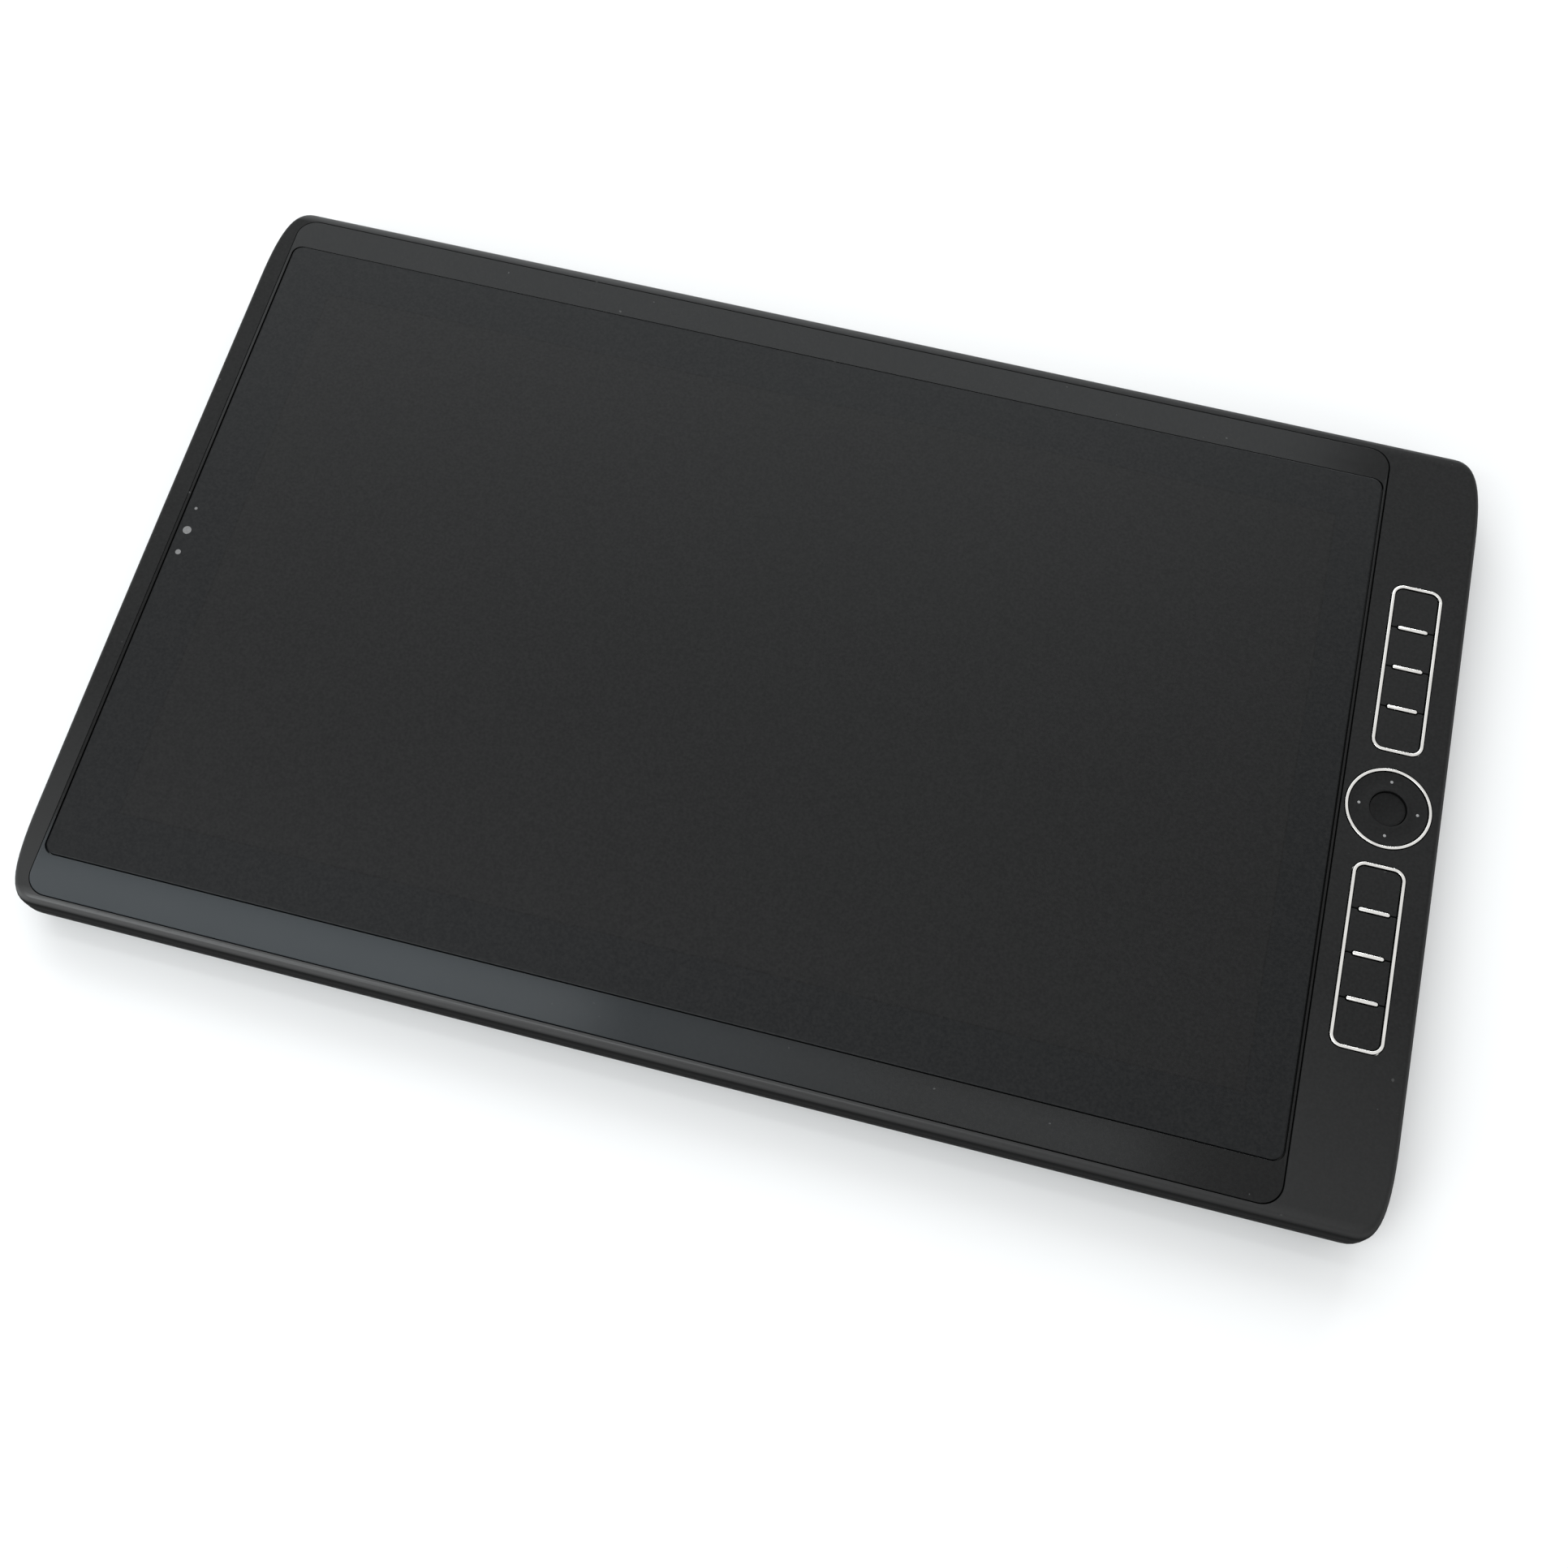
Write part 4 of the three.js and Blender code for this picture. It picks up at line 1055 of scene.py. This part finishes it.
pitch = (usbSpans[2].y - usbSpans[0].y) * mm
ports = repeated("usbPorts", gridTree, port, darkSteel,
                 columns=1, rows=3, across=0.0, along=pitch, centre=(0, usb.y * mm, 0))
hand(ports, "body", "black_plastic", "usb_c_port_1", "usb_c_port_2", "usb_c_port_3")

bm = bmesh.new()
for face in (-1, 1):
    level = face * usbShape["tongueHeight"] / 2
    low, high = sorted((level - face * usbShape["contactSunk"],
                        level + face * usbShape["contactProud"]))
    end = usb.right - usbShape["tongueTip"] - usbShape["contactBack"]
    middle = end - usbShape["contactLength"] / 2
    strip = centred(usbShape["contactLength"], usbShape["contactWidth"], 0.03, middle, 0, 1)
    closed(bm, strip, [(0, usb.z + low), (0, usb.z + high)])
contacts = asPiece(bm, "contacts", goldContact)
row = (usbShape["contacts"] - 1) * usbShape["pitch"] * mm
contacts = repeated("contactRow", gridTree, contacts, goldContact,
                    columns=1, rows=usbShape["contacts"], across=0.0, along=row, centre=(0, 0, 0))
contacts = repeated("usbContacts", gridTree, contacts, goldContact,
                    columns=1, rows=3, across=0.0, along=pitch, centre=(0, usb.y * mm, 0))
hand(contacts, "body", "steel")

jackShape = {"wall": 1.1, "lip": 0.15, "ease": 0.2}
bm = bmesh.new()
wall = jackShape["wall"]
lip = [(wall - jackShape["lip"], 0), (wall, -jackShape["ease"]), (wall, backing - jackSpan.width)]
closed(bm, circle(jackSpan.depth / 2, steps=48),
       [(0, -jackSpan.width)] + rounding(jackShape["ease"], 0) + lip)
facing(bm, "right", jackSpan.y, jackSpan.z, body.right - jackSpan.right)
hand(asPiece(bm, "headphoneJack", ringPlastic), "body", "black_plastic", "headphone_jack")

cardShape = {"wall": 0.5, "radius": 0.5, "ease": 0.1}
bm = bmesh.new()
wall, ease = cardShape["wall"], cardShape["ease"]
lip = [(ease, 0), (wall - ease, 0), (wall, -0.15), (wall, backing - cardSpan.width)]
closed(bm, centred(cardSpan.depth, cardSpan.height, cardShape["radius"], steps=5),
       [(0, -cardSpan.width), (0, -ease)] + lip)
facing(bm, "left", cardSpan.y, cardSpan.z, cardSpan.left - body.left)
hand(asPiece(bm, "cardSlot", darkSteel), "body", "black_plastic", "card_slot")


# edge buttons, each on its own body, and the ribbed lock slider

flange, back = buttonShape["flange"], -buttonShape["depth"]
step = back + buttonShape["flangeThick"]
profile = [(-flange, back), (-flange, step), (0, step)]
profile += rounding(buttonShape["ease"], buttonShape["proud"], 4)
for name in buttonNames:
    node = span(name)
    bm = bmesh.new()
    closed(bm, pill(node.width - 2 * flange, node.height - 2 * flange), profile)
    facing(bm, "back", node.x, node.z, buttonShape["inset"])
    hand(asPiece(bm, name.replace("_", "") + "Cap", buttonPlastic), name, "edge_buttons", name)

bm = bmesh.new()
high = buttonShape["proud"] - knobShape["sunk"]
ring = pill(knobShape["width"], knobShape["height"])
closed(bm, ring, [(0, back)] + rounding(knobShape["ease"], high, 4))
for along in knobShape["ribs"]:
    rib = centred(knobShape["ribWidth"], knobShape["ribLength"], 0.2, along, 0, 4)
    top = rounding(knobShape["ribHigh"], high + knobShape["ribHigh"])
    closed(bm, rib, [(0, high - knobShape["ease"])] + top)
tail = knobShape["width"] + knobShape["travel"] + 2 * flange
closed(bm, centred(tail, knobSpan.height, 1, steps=4),
       [(0, back - buttonShape["flangeThick"]), (0, back)])
facing(bm, "back", knobShape["along"], knobSpan.z, buttonShape["inset"])
hand(asPiece(bm, "lockKnob", buttonPlastic), "rotation_lock_slider", "edge_buttons",
     "rotation_lock_slider")
print("connectors and buttons ready")


# underside: feet, screws and the rear lens

footShape = {"ease": 0.7}
foot, screw = feet[0], screws[0]
bm = bmesh.new()
edge = [(inset, foot.high - z) for inset, z in rounding(footShape["ease"], foot.high, 5)]
closed(bm, pill(foot.width, foot.depth), edge[::-1] + [(0, foot.high)])
pads = repeated("rubberFeet", gridTree, asPiece(bm, "foot", footRubber), footRubber,
                columns=2, rows=2, across=2 * abs(foot.x) * mm, along=2 * abs(foot.y) * mm,
                centre=(0, 0, 0))
hand(pads, "body", "rubber_feet", "foot_1", "foot_2", "foot_3", "foot_4")

screwShape = {
    "socket": 1.1, "socketHigh": 2.2, "socketEase": 0.05, "lobes": 6, "lobeDepth": 0.14,
    "shank": 1.25, "headHigh": 2.4, "ease": 0.35, "steps": 36,
}


def sixLobes(inset):
    # the driver socket's star outline
    points = []
    for step in range(screwShape["steps"]):
        angle = 2 * math.pi * step / screwShape["steps"]
        wave = screwShape["lobeDepth"] * math.cos(screwShape["lobes"] * angle)
        reach = screwShape["socket"] * (1 + wave) - inset
        points.append((reach * math.cos(angle), reach * math.sin(angle)))
    return points


bm = bmesh.new()
head = screw.width / 2
edge = [(inset, screw.low + screwShape["headHigh"] - z)
        for inset, z in rounding(screwShape["ease"], screwShape["headHigh"])]
step, ease = head - screwShape["shank"], screwShape["socketEase"]
shank = [(0, screwShape["headHigh"]), (step, screwShape["headHigh"]), (step, screw.high)]
face, tip = climb(bm, circle(head, steps=screwShape["steps"]), edge[::-1] + shank)
socket = [(0, screw.low), (ease, screw.low + ease), (ease, screwShape["socketHigh"])]
low, top = climb(bm, sixLobes, socket)
cap(bm, face, low)
cap(bm, tip)
cap(bm, top)
across = (max(item.x for item in screws) - min(item.x for item in screws)) * mm
along = (max(item.y for item in screws) - min(item.y for item in screws)) * mm
heads = repeated("coverScrews", gridTree, asPiece(bm, "screw", satinSteel), satinSteel,
                 columns=3, rows=2, across=across, along=along, centre=(0, 0, 0))
hand(heads, "body", "steel", *(f"cover_screw_{i}" for i in range(1, 7)))

lensShape = {  # domed glass, the step round it, and the flat rim
    "glass": [(4, 1.66), (3.2, 1.78), (2.9, 1.74)], "step": [(2.7, 1.5), (2.6, 1.45)],
    "rim": [(0.15, 1.45), (0, 1.6)],
}
bm = bmesh.new()
profile = lensShape["glass"] + lensShape["step"] + lensShape["rim"] + [(0, eye.high)]
closed(bm, circle(eye.width / 2, eye.x, eye.y), profile)
hand(asPiece(bm, "rearLens", lensGlass), "body", "camera_glass", "rear_camera_window")
print("underside ready")


# finishes of the parts inside, which keep their own shapes

insides = {
    boardLaminate: ["pen_sensor_board", "main_board", "key_board"],
    castMagnesium: ["chassis_frame"], batteryFoil: ["battery_1", "battery_2"],
    copperMetal: ["heat_sink", "heat_pipe", "heat_spreader"],
    innerPlastic: ["lcd_module", "fan_housing", "fan_rotor", "speaker_left", "speaker_right",
                   "rocker_gimbal", "front_camera_module"],
}
for material, names in insides.items():
    for name in names:
        for holder in frame["nodes"][name].material_slots:
            holder.material = material
print("inside parts painted")


# floor, soft light and camera

cameraPlace = {
    "location": (0.05349, -0.23478, 0.56061), "turn": (21.920, 0.012, 14.289),
    "lens": 43.023, "sensor": 36, "shift": (0.0172, -0.029),
}
lightPlaces = [
    # name, place, size across and along, power, aimed at
    ("skyPanel", (-0.5, 1.35, 1.25), (2.1, 1.3), 13, (0, 0, 0)),
    ("nearLeftPanel", (-0.57, 0.105, 1.1), (0.8, 0.06), 0.66, (-0.57, 0, 0)),
    ("nearRightPanel", (0.09, 0.105, 1.1), (0.46, 0.06), 0.17, (0.09, 0, 0)),
    ("frontPanel", (-0.35, -0.55, 1.2), (1.1, 0.3), 4.5, (-0.1, -0.1, 0)),
    ("windowPanel", (-0.7, -1.05, 0.7), (0.6, 0.6), 4, (-0.15, -0.13, 0)),
    ("farLamp", (0.55, 1.7, 0.85), (0.35, 0.25), 3.5, (0.1, 0.1, 0)),
]
surround = {"strength": (0.8, 1.0), "heights": (0, 0.7)}  # from the horizon upwards
daylight = (0.93, 0.98, 1.0)
floorShape = {"reach": 9000, "drop": 0.05, "mottle": 120}


def makeCamera():
    data = bpy.data.cameras.new("camera")
    data.lens = cameraPlace["lens"]
    data.sensor_width = cameraPlace["sensor"]
    data.shift_x, data.shift_y = cameraPlace["shift"]
    data.clip_start = 0.01
    camera = bpy.data.objects.new("camera", data)
    camera.location = cameraPlace["location"]
    camera.rotation_euler = [math.radians(angle) for angle in cameraPlace["turn"]]
    bpy.context.scene.collection.objects.link(camera)
    bpy.context.scene.camera = camera


def aimed(place, aim):
    # looks at its aim, with its first side kept level with the object's width
    back = (place - aim).normalized()
    side = (Vector((1, 0, 0)) - back * back.x).normalized()
    return Matrix((side, back.cross(side), back)).transposed().to_euler()


def makeLights():
    for name, place, size, power, aim in lightPlaces:
        data = bpy.data.lights.new(name, "AREA")
        data.shape = "RECTANGLE"
        data.size, data.size_y = size
        data.energy = power
        data.color = daylight
        light = bpy.data.objects.new(name, data)
        light.location = place
        light.rotation_euler = aimed(Vector(place), Vector(aim))
        bpy.context.scene.collection.objects.link(light)
    # an even white surround, dimmer towards the horizon
    bpy.context.scene.world = bpy.data.worlds.new("studio")
    sky = Paint(bpy.context.scene.world)
    place = sky.add("ShaderNodeTexCoord", out="Generated")
    height = sky.add("ShaderNodeSeparateXYZ", values={0: place}, out=2)
    strength = sky.level(height, *surround["heights"], surround["strength"])
    glow = sky.add("ShaderNodeBackground", values={1: strength})
    sky.add("ShaderNodeOutputWorld", values={0: glow}, out=None)


def makeFloor():
    paint = Finish("paleFloor", gloss=0.2)
    mottle = paint.noise(floorShape["mottle"], 3)
    material = paint.done(
        colour=paint.mix(mottle, grey(0.86), grey(0.9)),
        rough=paint.level(mottle, 0.2, 0.8, (0.7, 0.8)),
    )
    bm = bmesh.new()
    reach = floorShape["reach"]
    corners = [(-reach, -reach), (reach, -reach), (reach, reach), (-reach, reach)]
    cap(bm, loopOf(bm, corners, -floorShape["drop"]))
    asPiece(bm, "floor", material)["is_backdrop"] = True


makeCamera()
makeLights()
makeFloor()
bpy.context.scene.view_settings.view_transform = "Standard"
print("stage ready")

sizes = {"cad": cadBox, "visual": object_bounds()}
{name: [list(corner) for corner in box] for name, box in sizes.items()}
